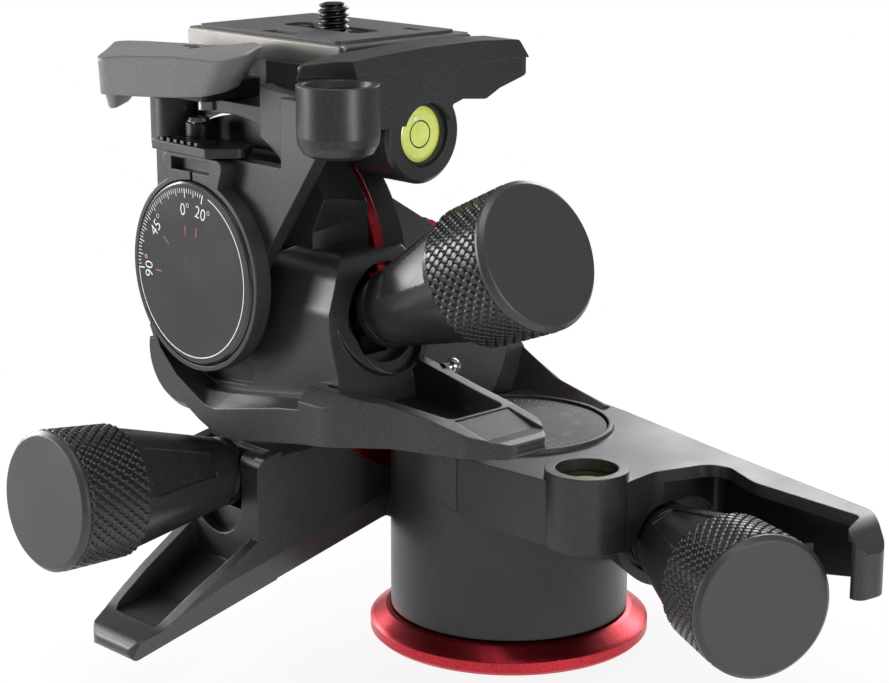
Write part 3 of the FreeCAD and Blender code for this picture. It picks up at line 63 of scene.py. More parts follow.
# %% Camera
TURN, DROP = math.radians(46.5), math.radians(14.08)
CAMERA_PLACE = (0.3297, -0.3321, 0.1807)
LENS_MM, SENSOR_MM, NEAREST = 92.6, 36.0, 0.01

camera = bpy.data.objects.new("camera", bpy.data.cameras.new("camera"))
bpy.context.scene.collection.objects.link(camera)
camera.location = CAMERA_PLACE
look = Vector((-math.sin(TURN) * math.cos(DROP), math.cos(TURN) * math.cos(DROP), -math.sin(DROP)))
camera.rotation_euler = look.to_track_quat("-Z", "Y").to_euler()
camera.data.lens = LENS_MM
camera.data.sensor_width = SENSOR_MM
camera.data.clip_start = NEAREST
bpy.context.scene.camera = camera
bpy.context.scene.view_settings.view_transform = "Standard"
print("camera looks along", [round(v, 3) for v in look])

# %% [markdown]
# ## Colours and nodes
# Colours are written as the hex values that a screen shows, while the renderer works in linear light.
# One function converts them.  A second function adds a shader node: its settings may be properties of
# the node or values of its sockets, and its links say which output feeds which socket.

# %% Colour and node helpers
def linear(code, alpha=1.0):
    """Linear RGBA of an sRGB hex colour."""
    channels = [int(code[i:i + 2], 16) / 255 for i in (1, 3, 5)]
    return [c / 12.92 if c <= 0.04045 else ((c + 0.055) / 1.055) ** 2.4 for c in channels] + [alpha]


def add_node(tree, kind, settings=None, links=None):
    """Adds one shader node with its settings and links, and returns it."""
    made = tree.nodes.new("ShaderNode" + kind)
    for name, value in (settings or {}).items():
        if isinstance(name, int) or name in made.inputs:
            made.inputs[name].default_value = value
        else:
            setattr(made, name, value)
    for name, source in (links or {}).items():
        tree.links.new(source, made.inputs[name])
    return made


print("mid grey in linear light", [round(v, 3) for v in linear("#808080")])

# %% [markdown]
# ## A finish in three layers
# Every finish here is one Principled shader with the same three layers under it.  The first is a noise
# that makes the colour a little uneven, as dye, dust and handling do.  The second is the moulding or
# machining grain, which bends the light.  The third is a rounded edge: real edges are never sharp, and a
# Bevel node gives them a thin highlight without any extra geometry.  The grain is given in millimetres.
# Larger, soft clouds of noise vary the roughness a little, as fingers and wiping do.  A noise gathers
# round its middle value, so only that part of its range is stretched over the two colours.

# %% The finish builder
MIX_FACTOR, MIX_A, MIX_B, MIX_RESULT = 0, 6, 7, 2   # a Mix node's sockets when it mixes colours
GRAIN_DETAIL, GRAIN_ROUGHNESS, GRAIN_SPREAD = 3.0, 0.6, 0.3
CLOUD_MM, CLOUD_DETAIL, CLOUD_LOW, CLOUD_HIGH, ROUGHNESS_SWING = 18.0, 2.0, 0.3, 0.7, 0.05
COAT_ROUGHNESS, BUMP_STRENGTH, EDGE_SAMPLES = 0.08, 0.5, 4


def finish(name, colour, other, roughness, grain_mm, grain_depth, metallic=0.0, edge_mm=0.35, speckle=0.5,
           ior=1.5, coat=0.0):
    """Procedural finish: two colours mixed by grain, a bump of the same grain, and soft edges."""
    material = bpy.data.materials.new(name)
    material.use_nodes = True
    tree = material.node_tree
    tree.nodes.clear()
    place = add_node(tree, "TexCoord").outputs["Object"]
    grain = add_node(tree, "TexNoise",
                     {"Scale": 1 / (grain_mm * MM), "Detail": GRAIN_DETAIL, "Roughness": GRAIN_ROUGHNESS},
                     {"Vector": place})
    cloud = add_node(tree, "TexNoise", {"Scale": 1 / (CLOUD_MM * MM), "Detail": CLOUD_DETAIL},
                     {"Vector": place})
    spread = GRAIN_SPREAD * speckle
    blend = add_node(tree, "MapRange", {"From Min": 0.5 - spread, "From Max": 0.5 + spread},
                     {"Value": grain.outputs["Fac"]})
    mixed = add_node(tree, "Mix", {"data_type": "RGBA", MIX_A: linear(colour), MIX_B: linear(other)},
                     {MIX_FACTOR: blend.outputs["Result"]})
    rough = add_node(tree, "MapRange",
                     {"From Min": CLOUD_LOW, "From Max": CLOUD_HIGH,
                      "To Min": roughness - ROUGHNESS_SWING, "To Max": roughness + ROUGHNESS_SWING},
                     {"Value": cloud.outputs["Fac"]})
    edge = add_node(tree, "Bevel", {"samples": EDGE_SAMPLES, "Radius": edge_mm * MM})
    bump = add_node(tree, "Bump", {"Strength": BUMP_STRENGTH, "Distance": grain_depth * MM},
                    {"Height": grain.outputs["Fac"], "Normal": edge.outputs["Normal"]})
    shader = add_node(tree, "BsdfPrincipled",
                      {"Metallic": metallic, "Coat Weight": coat, "Coat Roughness": COAT_ROUGHNESS},
                      {"Base Color": mixed.outputs[MIX_RESULT], "Roughness": rough.outputs["Result"],
                       "Normal": bump.outputs["Normal"]})
    if metallic == 0.0:
        shader.inputs["IOR"].default_value = ior
    add_node(tree, "OutputMaterial", {}, {"Surface": shader.outputs["BSDF"]})
    return material


print("colour, grain and edge layers, with roughness clouds of", CLOUD_MM, "mm")

# %% [markdown]
# ## Moulded plastics and rubber
# The housings are nylon filled with glass fibre, moulded against a spark-eroded steel wall.  The wall
# leaves a fine grain that breaks up the shine, and the fibres show as paler specks.  The real grain is
# about a tenth of a millimetre, too fine to show, so it is drawn at 0.3 mm.  The knob handles are a smooth
# ABS from a satin mould, so they carry long soft highlights.  The knob caps and the scale disc are ABS
# too, duller, so that they look flat and even, and the tilt dial is polished and lacquered, so that it
# mirrors its surroundings faintly over the black.  The bezels come from a fine matt mould.  The grips are
# a smooth rubber whose ovals catch small glints, and the plate's pad is an embossed rubber, dull and grainy.

# %% Plastics and rubber
glass_filled_nylon = finish("glass_filled_nylon_eroded", "#1a1b1c", "#343537", 0.34, 0.30, 0.03)
satin_abs = finish("moulded_abs_satin", "#222325", "#28292b", 0.27, 0.8, 0.006, edge_mm=0.5, ior=1.53)
cap_abs = finish("moulded_abs_cap", "#2d2e30", "#323335", 0.38, 0.5, 0.008, edge_mm=0.5, ior=1.53)
dial_abs = finish("moulded_abs_polished_dial", "#1d1e20", "#222325", 0.24, 2.0, 0.004, edge_mm=0.2,
                  ior=1.53, coat=0.3)
scale_abs = finish("moulded_abs_scale_disc", "#2b2c2e", "#333436", 0.5, 0.4, 0.02, ior=1.53)
bezel_abs = finish("moulded_abs_bezel", "#141516", "#1c1d1e", 0.36, 0.6, 0.01, ior=1.53)
grip_rubber = finish("moulded_rubber_grip", "#161617", "#1f1f20", 0.30, 0.5, 0.01, edge_mm=0.1, ior=1.52)
pad_rubber = finish("embossed_rubber_pad", "#2f3032", "#4b4c4e", 0.58, 0.28, 0.12, edge_mm=0.1, ior=1.52)
print("plastics and rubber", len(bpy.data.materials))

# %% [markdown]
# ## Metals
# The base ring and the two accent rings are aluminium, turned and then anodised red: the dye lies in a
# clear oxide, so the metal still gleams through.  The camera plate is die-cast aluminium, blasted, which
# gives it an even, silky sheen.  The clamp lever is die-cast zinc with a light grey paint, so it isn't
# metallic at all and shows a soft, even grey.  Worms, shafts and pins are ground steel with sharp bright
# reflections.  The column and the swing arms are turned aluminium, paler and softer.  The worm wheels and
# the bush are bronze with its warm tint, and the camera screw is blackened, so only its edges glint.

# %% Metals
red_anodised = finish("anodised_aluminium_red", "#b02832", "#c8404a", 0.34, 0.4, 0.01, metallic=1.0,
                      edge_mm=0.3)
cast_aluminium = finish("blasted_aluminium", "#777470", "#85827e", 0.42, 0.25, 0.03, metallic=1.0)
painted_zinc = finish("painted_zinc_lever", "#72716f", "#807f7d", 0.40, 0.3, 0.03, edge_mm=0.8)
turned_aluminium = finish("turned_aluminium", "#b8b8ba", "#c4c4c6", 0.3, 0.3, 0.01, metallic=1.0)
ground_steel = finish("ground_steel", "#9c9c9e", "#b0b0b2", 0.26, 0.3, 0.01, metallic=1.0, edge_mm=0.15)
black_steel = finish("blackened_steel", "#2d2d30", "#3c3c40", 0.34, 0.3, 0.01, metallic=1.0, edge_mm=0.1)
bronze = finish("machined_bronze", "#a67c45", "#b98d54", 0.32, 0.3, 0.01, metallic=1.0, edge_mm=0.1)
print("finishes so far", len(bpy.data.materials))

# %% [markdown]
# ## Level fluid and ink
# The levels hold a yellow-green spirit behind a polished acrylic face.  Seen through the face it looks like
# a bright, even colour under a gloss, so a clear coat over the colour is enough.  A faint glow is painted
# into the spirit, painted light that keeps it bright in the shade at the bottom of its well.  The scales are
# printed with an opaque ink that stands a few hundredths of a millimetre proud and is duller than the dial.

# %% Fluid and inks
SPIRIT_COLOUR, SPIRIT_PAINTED_GLOW = "#c6d064", 0.22

level_spirit = finish("acrylic_face_over_spirit", SPIRIT_COLOUR, "#d3dc7c", 0.22, 3.0, 0.002, edge_mm=0.3,
                      ior=1.49, coat=0.8)
spirit_shader = level_spirit.node_tree.nodes["Principled BSDF"]
spirit_shader.inputs["Emission Color"].default_value = linear(SPIRIT_COLOUR)
# painted light: the spirit glows in its own right, so that it stays bright in the shade of its well
spirit_shader.inputs["Emission Strength"].default_value = SPIRIT_PAINTED_GLOW
white_ink = finish("printed_ink_white", "#e4e4e2", "#eeeeec", 0.5, 0.4, 0.004, edge_mm=0.01)
pale_ink = finish("printed_ink_grey", "#8d8e90", "#9a9b9d", 0.5, 0.4, 0.004, edge_mm=0.01)
red_ink = finish("printed_ink_red", "#a8454f", "#b4525b", 0.5, 0.4, 0.004, edge_mm=0.01)
black_ink = finish("printed_ink_black", "#1c1f12", "#24271a", 0.45, 0.4, 0.004, edge_mm=0.01)
print("finishes so far", len(bpy.data.materials))

# %% [markdown]
# ## Finishes for the CAD pieces
# The record of the part groups its nodes by material slot.  A table from slot to finish dresses every node
# at once, and a slot without a finish would stop the script here instead of showing up grey later.

# %% Dress the CAD nodes
FINISHES = {
    "red_anodised": red_anodised, "steel": ground_steel, "alloy": turned_aluminium, "bronze": bronze,
    "body_polymer": glass_filled_nylon, "scale_polymer": scale_abs, "dial_gloss": dial_abs,
    "knob_polymer": satin_abs, "cap_polymer": cap_abs, "grip_rubber": grip_rubber, "bezel": bezel_abs,
    "vial_fluid": level_spirit, "plate_alloy": cast_aluminium, "pad_rubber": pad_rubber,
    "lever_paint": painted_zinc, "black_steel": black_steel,
}
slot_of = {part["node"]: part["material_slot"] for part in frame["record"]["subparts"]}
for node_name, node_object in frame["nodes"].items():
    node_object.data.materials.clear()
    node_object.data.materials.append(FINISHES[slot_of[node_name]])
print("dressed", len(slot_of), "nodes in", len(set(slot_of.values())), "finishes")

# %% [markdown]
# ## New pieces
# A new piece is a mesh that rides on a CAD body, so that it turns with it.  One helper makes it from
# points in millimetres, and gives it a finish and smooth shading.

# %% The piece helper
def piece(name, points_mm, faces, material, body, smooth=True):
    """Mesh object from points in millimetres, riding on a CAD body."""
    mesh = bpy.data.meshes.new(name)
    mesh.from_pydata((np.asarray(points_mm, float) * MM).tolist(), [], faces)
    mesh.validate()
    mesh.materials.append(material)
    mesh.polygons.foreach_set("use_smooth", [smooth] * len(mesh.polygons))
    made = bpy.data.objects.new(name, mesh)
    bpy.context.scene.collection.objects.link(made)
    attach(made, body)
    return made


# %% [markdown]
# ## Turned surfaces
# Grips, screws, bubbles and rivets are all turned: a profile swept round an axis.  A modifier could do the
# sweep, but here each point's radius may depend on its place round the axis too, which is what makes a
# knurl or a thread.  So the points are worked out as a table, one row for each place along the axis, and a
# second function joins neighbouring rows with quads.

# %% Turned surface helpers
def wrapped_faces(rows, around):
    """Quads of a tube made of rows of points that close round on themselves."""
    faces = []
    for row in range(rows - 1):
        near, far = row * around, (row + 1) * around
        for k in range(around):
            after = (k + 1) % around
            faces.append((near + k, near + after, far + after, far + k))
    return faces


def turned_points(centre, axis, along, radii):
    """Points of a turned surface: along has one value per row, radii one per row and step round the axis."""
    axis = Vector(axis).normalized()
    side = axis.orthogonal().normalized()
    other = axis.cross(side)
    around = radii.shape[1]
    angle = np.arange(around) * 2 * np.pi / around
    ring = np.outer(np.cos(angle), side) + np.outer(np.sin(angle), other)
    points = np.array(centre) + along[:, None, None] * np.array(axis) + radii[:, :, None] * ring[None]
    return points.reshape(-1, 3)


print("a tube of 3 rows and 8 steps has", len(wrapped_faces(3, 8)), "quads")

# %% [markdown]
# ## Knurled grips
# Each knob wears a rubber band moulded with rows of small raised ovals, packed like a honeycomb, 2.2 mm
# apart round the knob and 1.27 mm from row to row.  A bump map would leave the band's outline smooth, so
# the ovals are real: a fine tube whose radius rises over each oval.  First comes the height of the ovals
# on the band unrolled to a flat strip: each has a flat top and a short, smooth flank.

# %% Height of the ovals
OVAL_ROUND, OVAL_ALONG = 2.2, 1.27    # mm from oval to oval, round the knob and along it
OVAL_WIDE, OVAL_LONG = 0.80, 0.92     # mm, half an oval's size in the same directions
OVAL_HIGH, OVAL_FLANK = 0.42, 0.22    # mm of height, and the flank's share of the half size


def oval_height(along, turn, radius):
    """Height of the raised ovals, 0 to 1, on a band unrolled to millimetres."""
    count = round(2 * math.pi * radius / OVAL_ROUND)
    high = np.zeros(np.broadcast(along, turn).shape)
    column = np.floor(along / OVAL_ALONG)
    for shift in (-1, 0, 1):
        near = column + shift
        across = (along - (near + 0.5) * OVAL_ALONG) / OVAL_LONG
        unit = turn / (2 * np.pi) * count - 0.5 * np.mod(near, 2)
        sideways = (unit - np.round(unit)) * OVAL_ROUND / OVAL_WIDE
        reach = np.sqrt(across ** 2 + sideways ** 2)
        high = np.maximum(high, np.clip((1 - reach) / OVAL_FLANK, 0, 1))
    return high * high * (3 - 2 * high)


middle_height = oval_height(np.array([OVAL_ALONG / 2]), np.array([0.0]), 14.0)
print("height at an oval's middle", float(middle_height[0]))

# %% [markdown]
# ## The three bands
# The band flares a little towards the cap and rounds off at its edge.  The CAD's plain band is its
# envelope, so the tops of the ovals lie a hundredth of a millimetre inside it and the grooves below.  Each
# knob's axis is known from the CAD: a point on it, its direction, and how far along it the cap ends.

# %% Knurled bands
GRIP_WIDTH, CAP_DEPTH, CORE_R = 14.5, 1.6, 11.4
BAND_START_R, BAND_FULL_R, BAND_END_R, BAND_MEAN_R = 13.6, 14.2, 13.8, 13.9
EDGE_ROUND, INSIDE, FIRST_ROW = 0.6, 0.01, 0.3
BAND_ROWS, BAND_STEPS = 104, 560


def knurled_band(name, node, centre, axis, reach, body):
    """Grip band with raised ovals, whose cap ends at reach along the knob's axis; it replaces the node."""
    start, end = reach - CAP_DEPTH - GRIP_WIDTH, reach - CAP_DEPTH
    along = np.linspace(start, end, BAND_ROWS)
    outer = np.interp(along, [start, end - EDGE_ROUND, end], [BAND_START_R, BAND_FULL_R, BAND_END_R]) - INSIDE
    angle = np.arange(BAND_STEPS) * 2 * np.pi / BAND_STEPS
    rise = oval_height(along[:, None] - start - FIRST_ROW, angle[None, :], BAND_MEAN_R)
    radii = outer[:, None] - OVAL_HIGH * (1 - rise)
    closing = np.full(BAND_STEPS, CORE_R)
    along = np.concatenate(([start], along, [end]))
    radii = np.vstack((closing, radii, closing))
    made = piece(name, turned_points(centre, axis, along, radii), wrapped_faces(BAND_ROWS + 2, BAND_STEPS),
                 grip_rubber, body)
    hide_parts(node)
    print(name, "ovals round", round(2 * math.pi * BAND_MEAN_R / OVAL_ROUND), "faces", len(made.data.polygons))


FRONT_RISE, SIDE_RISE, PAN_SWING = math.radians(23), math.radians(4), math.radians(23.7)
KNOBS = [
    # knob, point on its axis, direction of its axis, reach of its cap
    ("front", (-17.006, -43.0, 67.523), (math.cos(FRONT_RISE), 0, math.sin(FRONT_RISE)), 72.8),
    ("side", (-35.0, -9.272, 34.862), (0, -math.cos(SIDE_RISE), math.sin(SIDE_RISE)), 85.5),
    ("pan", (7.798, 17.764, 29.5), (math.cos(PAN_SWING), -math.sin(PAN_SWING), 0), 80.0),
]
for knob, centre, axis, reach in KNOBS:
    knurled_band(knob + "_knurl", knob + "_knob_grip", centre, axis, reach, knob + "_knob")

# %% [markdown]
# ## Camera screw
# The screw that holds the camera has a quarter-inch thread with 20 turns to the inch.  It could be a
# helix swept along a path, but a turned surface whose radius depends on height minus turn gives the same
# flanks with one formula, and it closes cleanly into the neck and the head below.  The thread fades out
# over the last turn, as a cut thread does, so that a camera starts on it easily.

# %% Threaded screw
SCREW_PITCH, SCREW_R, THREAD_DEPTH = 25.4 / 20, 3.175, 0.68
HEAD_R, HEAD_T, NECK_R, NECK_T = 7.2, 2.0, 2.5, 1.6
TIP_SHORT, TIP_FADE, TIP_CUT, TIP_R = 0.5, 0.8, 0.7, SCREW_R - 1.3
TOOTH_TOP, TOOTH_SLOPE = 1.25, 3.2    # over 1 leaves a flat on the tooth, and the slope sets its flanks
SCREW_STEP, SCREW_STEPS, AXIS_R = 0.09, 48, 0.01


def threaded_screw():
    """Camera screw from its CAD box: head, plain neck and threaded end; it replaces the CAD screw."""
    low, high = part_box("camera_screw")
    bottom, top = low.z / MM, high.z / MM - TIP_SHORT
    shoulder = bottom + HEAD_T
    heights = np.arange(shoulder + NECK_T, top - 0.001, SCREW_STEP)
    angle = np.arange(SCREW_STEPS) / SCREW_STEPS
    phase = np.mod(heights[:, None] / SCREW_PITCH - angle[None, :], 1.0)
    tooth = np.clip(TOOTH_TOP - np.abs(phase - 0.5) * TOOTH_SLOPE, 0, 1)
    fade = np.clip((top - heights) / TIP_FADE, 0, 1)[:, None]
    thread = SCREW_R - THREAD_DEPTH * (1 - tooth) - (1 - fade) * TIP_CUT
    along = np.concatenate(([bottom, bottom, shoulder, shoulder, heights[0]], heights, [top, top]))
    below = [np.full(SCREW_STEPS, r) for r in (AXIS_R, HEAD_R, HEAD_R, NECK_R, NECK_R)]
    tip = [np.full(SCREW_STEPS, r) for r in (TIP_R, AXIS_R)]
    middle = (low + high) / 2 / MM
    made = piece("screw_thread",
                 turned_points((middle.x, middle.y, 0), (0, 0, 1), along, np.vstack((*below, thread, *tip))),
                 wrapped_faces(len(along), SCREW_STEPS), black_steel, "camera_screw")
    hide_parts("camera_screw")
    print("screw", round(top - bottom, 2), "mm, turns", round((top - heights[0]) / SCREW_PITCH, 1))


threaded_screw()

# %% [markdown]
# ## Strokes on a face
# Scales are printed in ink that stands a hair proud of the plastic.  An image would blur up close, so every
# stroke is a flat mesh laid 0.03 mm above its face.  A face is described by its centre and its right and
# up directions, and a place on it is counted as on a clock: clockwise from the top, in degrees.

# %% Stroke helpers
INK_PROUD = 0.03


def on_face(face, x, y):
    """Point in space of a place on a face."""
    centre, right, up = face
    return Vector(centre) + Vector(right) * x + Vector(up) * y


def clockface(angle, radius):
    """Place on a face, with the angle counted clockwise from the top, in degrees."""
    return radius * math.sin(math.radians(angle)), radius * math.cos(math.radians(angle))


def strokes(name, face, marks, material, body):
    """Radial strokes; each mark is (angle, inner radius, outer radius, width)."""
    points, faces = [], []
    for angle, inner, outer, width in marks:
        side_x, side_y = clockface(angle + 90, width / 2)
        for radius, sign in ((inner, -1), (inner, 1), (outer, 1), (outer, -1)):
            x, y = clockface(angle, radius)
            points.append(on_face(face, x + sign * side_x, y + sign * side_y))
        n = len(points)
        faces.append((n - 1, n - 2, n - 3, n - 4))
    return piece(name, points, faces, material, body, smooth=False)


print("a quarter past on a 10 mm face", [round(v, 2) for v in clockface(90, 10)])

# %% [markdown]
# ## Lines and single marks
# A line along the edge of a dial is a strip of quads, one every three degrees.  The short red marks aren't
# radial, so each is given by its middle and its tilt from upright.

# %% Line and mark helpers
def arc_line(name, face, radius, width, start, end, material, body):
    """Line along part of a circle, from one clock angle to another."""
    steps = max(8, int(abs(end - start) / 3))
    points, faces = [], []
    for k in range(steps + 1):
        angle = start + (end - start) * k / steps
        for side in (-1, 1):
            points.append(on_face(face, *clockface(angle, radius + side * width / 2)))
    for k in range(steps):
        faces.append((2 * k, 2 * k + 1, 2 * k + 3, 2 * k + 2))
    return piece(name, points, faces, material, body, smooth=False)


def short_mark(name, face, x, y, tilt, length, width, material, body, slot_name):
    """One straight stroke, given by its middle and its tilt from upright."""
    cosine, sine = math.cos(math.radians(tilt)), math.sin(math.radians(tilt))
    points = []
    for a, b in ((-width / 2, -length / 2), (width / 2, -length / 2), (width / 2, length / 2),
                 (-width / 2, length / 2)):
        points.append(on_face(face, x + a * cosine + b * sine, y - a * sine + b * cosine))
    return piece(name, points, [(0, 1, 2, 3)], material, body, smooth=False)


print("steps in a full circle", 360 // 3)

# %% [markdown]
# ## Numbers
# Blender's text object gives the outlines of the numbers.  Its built-in face is heavier than a printed
# scale's, so a small negative offset thins the strokes.  The text becomes a mesh, which needs no font
# later, and it is turned into the plane of its face.

# %% Number helper
THINNER, CURVE_STEPS = 0.012, 4


def number(name, text, face, x, y, tilt, size, material, body, slot_name):
    """Number on a face, given by its middle and its tilt from upright, drawn with a light stroke."""
    curve = bpy.data.curves.new(name + "_curve", "FONT")
    curve.body = text
    curve.size = size * MM
    curve.offset = -THINNER * size * MM
    curve.align_x = "CENTER"
    curve.align_y = "CENTER"
    curve.resolution_u = CURVE_STEPS
    source = bpy.data.objects.new(name + "_source", curve)
    bpy.context.scene.collection.objects.link(source)
    mesh = bpy.data.meshes.new_from_object(source.evaluated_get(bpy.context.evaluated_depsgraph_get()))
    bpy.data.objects.remove(source)
    mesh.materials.clear()
    mesh.materials.append(material)
    right, up = Vector(face[1]), Vector(face[2])
    axes = Matrix((right, up, right.cross(up))).transposed().to_4x4()
    made = bpy.data.objects.new(name, mesh)
    bpy.context.scene.collection.objects.link(made)
    made.matrix_world = (Matrix.Translation(on_face(face, x, y) * MM) @ axes
                         @ Matrix.Rotation(-math.radians(tilt), 4, "Z"))
    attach(made, body)
    return made


print("strokes thinned by", THINNER, "of the size")

# %% [markdown]
# ## Tilt dial
# The dial says how far the top is tipped forwards or back.  It carries a fan of strokes from 20 degrees on
# one side to 90 on the other, four generic numbers of degrees with a short red mark under each, and a thin
# line round the rest of its edge.  The numbers aren't set round one circle, so a table gives their places.

# %% Tilt dial
dial_low, dial_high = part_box("front_dial")
dial_centre = (dial_low + dial_high) / 2 / MM
PRINT_SHIFT_X, PRINT_SHIFT_Z = -0.7, -0.1
PRINT_FACE = ((dial_centre.x + PRINT_SHIFT_X, dial_low.y / MM - INK_PROUD, dial_centre.z + PRINT_SHIFT_Z),
              (1, 0, 0), (0, 0, 1))
ZERO_AT, STEP_DEGREES, STROKE_R = -4.0, 2.5, 17.0
LONG_STROKE, TENS_STROKE, SHORT_STROKE = 1.9, 1.5, 0.9
BROAD, FINE = 0.24, 0.15
EDGE_LINE_R, EDGE_LINE_WIDTH, EDGE_LINE_FROM, EDGE_LINE_TO = 16.9, 0.2, 22, 265
TILT_NUMBER_SIZE, RED_MARK_LENGTH, RED_MARK_WIDTH = 3.5, 2.0, 0.26
NUMBERS = [
    # degrees, place and tilt of the number, place and tilt of the red mark
    (0, (-1.1, 12.6, -2), (-1.2, 8.5, -2)),
    (20, (4.4, 12.3, 12), (2.3, 8.5, 10)),
    (45, (-10.4, 8.2, -52), (-7.5, 5.7, -52)),
    (90, (-13.4, -0.4, -90), (-10.2, -0.9, -90)),
]

tilt_marks = []
for step in range(-8, 37):
    degrees = STEP_DEGREES * step
    length = LONG_STROKE if degrees in (-20, 0, 90) else TENS_STROKE if degrees % 10 == 0 else SHORT_STROKE
    width = BROAD if length == LONG_STROKE else FINE
    tilt_marks.append((ZERO_AT - degrees, STROKE_R - length, STROKE_R, width))
strokes("tilt_strokes", PRINT_FACE, tilt_marks, white_ink, "middle_body")
arc_line("tilt_edge_line", PRINT_FACE, EDGE_LINE_R, EDGE_LINE_WIDTH, EDGE_LINE_FROM, EDGE_LINE_TO,
         white_ink, "middle_body")
for degrees, number_place, mark_place in NUMBERS:
    number("tilt_number_%d" % degrees, "%d°" % degrees, PRINT_FACE, *number_place, TILT_NUMBER_SIZE,
           white_ink, "middle_body", "dial_gloss")
    short_mark("tilt_red_mark_%d" % degrees, PRINT_FACE, *mark_place, RED_MARK_LENGTH, RED_MARK_WIDTH,
               red_ink, "middle_body", "dial_gloss")
print("tilt strokes", len(tilt_marks))

# %% [markdown]
# ## Pan scale
# The disc under the middle body stands still while the deck turns round it, and says how far.  It has a
# stroke every five degrees, a longer one every thirty, and generic numbers that count up to 180 both ways.
# The ink is grey, because this disc is read from above and would glare in white.

# %% Pan scale
pan_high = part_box("pan_dial")[1]
PAN_FACE = ((0, 0, pan_high.z / MM + INK_PROUD), (math.cos(TURN), math.sin(TURN), 0),
            (-math.sin(TURN), math.cos(TURN), 0))
PAN_STROKE_R, PAN_SHORT_R, PAN_LONG_R, PAN_STROKE_WIDTH = 19.6, 17.4, 16.2, 0.2
PAN_NUMBER_R, PAN_NUMBER_SIZE = 14.0, 3.0

pan_marks = []
for k in range(360 // 5):
    inner = PAN_SHORT_R if k % 6 else PAN_LONG_R
    pan_marks.append((5 * k, inner, PAN_STROKE_R, PAN_STROKE_WIDTH))
strokes("pan_strokes", PAN_FACE, pan_marks, pale_ink, "base")
for k in range(12):
    both_ways = abs((k + 6) % 12 - 6) * 30
    number("pan_number_%02d" % k, str(both_ways), PAN_FACE, *clockface(30 * k, PAN_NUMBER_R), 30 * k,
           PAN_NUMBER_SIZE, pale_ink, "base", "scale_polymer")
print("pan strokes", len(pan_marks))

# %% [markdown]
# ## Levels
# Each round level shows a black circle and a bubble under its clear face.  The bubble is a flattened drop
# of a paler colour, and the circle a thin flat ring, both lying on the face so that they show from all
# sides.  The bubble of a level that lies flat floats near the middle, and the one in the upright level has
# risen to the top.

# %% Bubbles and circles
bubble_spirit = finish("air_bubble_in_spirit", "#e6ecae", "#eff3c4", 0.15, 2.0, 0.002, edge_mm=0.1, ior=1.49,
                       coat=0.8)
CIRCLE_R, CIRCLE_WIDTH = 2.6, 0.28
BUBBLE_PROUD, BUBBLE_FLAT = 0.05, 0.35
BUBBLE_ROWS, BUBBLE_STEPS, BUBBLE_TIP_R = 7, 32, 0.005


def level_marks(name, centre, normal, body, offset, bubble_r):
    """Circle and bubble on a level's outer face; offset is the bubble's place on that face."""
    normal = Vector(normal)
    right = Vector((0, 0, 1)).cross(normal)
    right = right.normalized() if right.length > 0.1 else Vector((1, 0, 0))
    face = (tuple(Vector(centre) + normal * INK_PROUD), tuple(right), tuple(normal.cross(right)))
    arc_line(name + "_circle", face, CIRCLE_R, CIRCLE_WIDTH, 0, 360, black_ink, body)
    tilt = np.linspace(0, np.pi / 2, BUBBLE_ROWS)
    along = BUBBLE_PROUD + BUBBLE_FLAT * bubble_r * np.sin(tilt)
    radii = np.repeat((bubble_r * np.cos(tilt) + BUBBLE_TIP_R)[:, None], BUBBLE_STEPS, axis=1)
    piece(name + "_bubble", turned_points(tuple(on_face(face, *offset)), tuple(normal), along, radii),
          wrapped_faces(BUBBLE_ROWS, BUBBLE_STEPS), bubble_spirit, body)
    print(name, "bubble", round(2 * bubble_r, 1), "mm across")


def face_of(node, normal):
    """Centre of a vial's outer face, in millimetres."""
    low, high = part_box(node)
    middle, half = (low + high) / 2 / MM, (high - low) / 2 / MM
    return middle + Vector(normal) * abs(half.dot(Vector(normal)))


LEVELS = [
    # level, direction its face looks, body, place and radius of its bubble
    ("deck_level", (0, 0, 1), "pan_body", (0.6, 0.8), 1.5),
    ("side_level", (1, 0, 0), "top_body", (-1.2, 3.2), 0.7),
    ("cup_level", (0, 0, 1), "top_body", (0.4, 0.5), 1.5),
]
for level, normal, body, offset, bubble_r in LEVELS:
    level_marks(level, face_of(level + "_vial", normal), normal, body, offset, bubble_r)

# %% [markdown]
# ## A ball-headed rivet
# A bright steel rivet with a round head stops the upper knob's swing arm.  It is a turned shape, most of a
# ball on a short neck, and it stands on the wing's inner wall.

# %% Rivet
RIVET_PLACE, RIVET_R, RIVET_NECK, NECK_SHARE = (17.2, -33.4, 67.4), 1.6, 2.6, 0.62
RIVET_ROWS, RIVET_STEPS, RIVET_TIP_R = 12, 36, 0.003
BALL_FROM = -0.9    # radians below the ball's middle, where the neck joins it

tilt = np.linspace(BALL_FROM, np.pi / 2, RIVET_ROWS)
rivet_along = np.concatenate(([-RIVET_NECK], RIVET_R * np.sin(tilt)))
rivet_radii = np.concatenate(([RIVET_R * NECK_SHARE], RIVET_R * np.cos(tilt) + RIVET_TIP_R))
piece("stop_rivet",
      turned_points(RIVET_PLACE, (0, 1, 0), rivet_along, np.repeat(rivet_radii[:, None], RIVET_STEPS, axis=1)),
      wrapped_faces(len(rivet_along), RIVET_STEPS), ground_steel, "middle_body")
print("stop_rivet", 2 * RIVET_R, "mm across")

# %% [markdown]
# ## Studio floor
# The head stands on a wide white board.  The camera, reflections and clear pieces see it as plain white,
# by the Light Path node, while it gathers light as matt paint does.  Near the head a little of the paint
# is left in what the camera sees, so that the floor keeps the shadow.  In reflections the board carries a
# painted pool of light, bright near the head and darker further out, where a studio is dark, and so black
# plastic keeps its depth.

# %% Floor
FLOOR_HALF, FLOOR_DROP = 4.0, 0.0002
POOL_NEAR, POOL_FAR, POOL_DIM = 0.16, 0.62, 0.22
SHADOW_NEAR, SHADOW_FAR, SHADOW_SHARE = 0.10, 0.26, 0.88
WHITE = (1, 1, 1, 1)

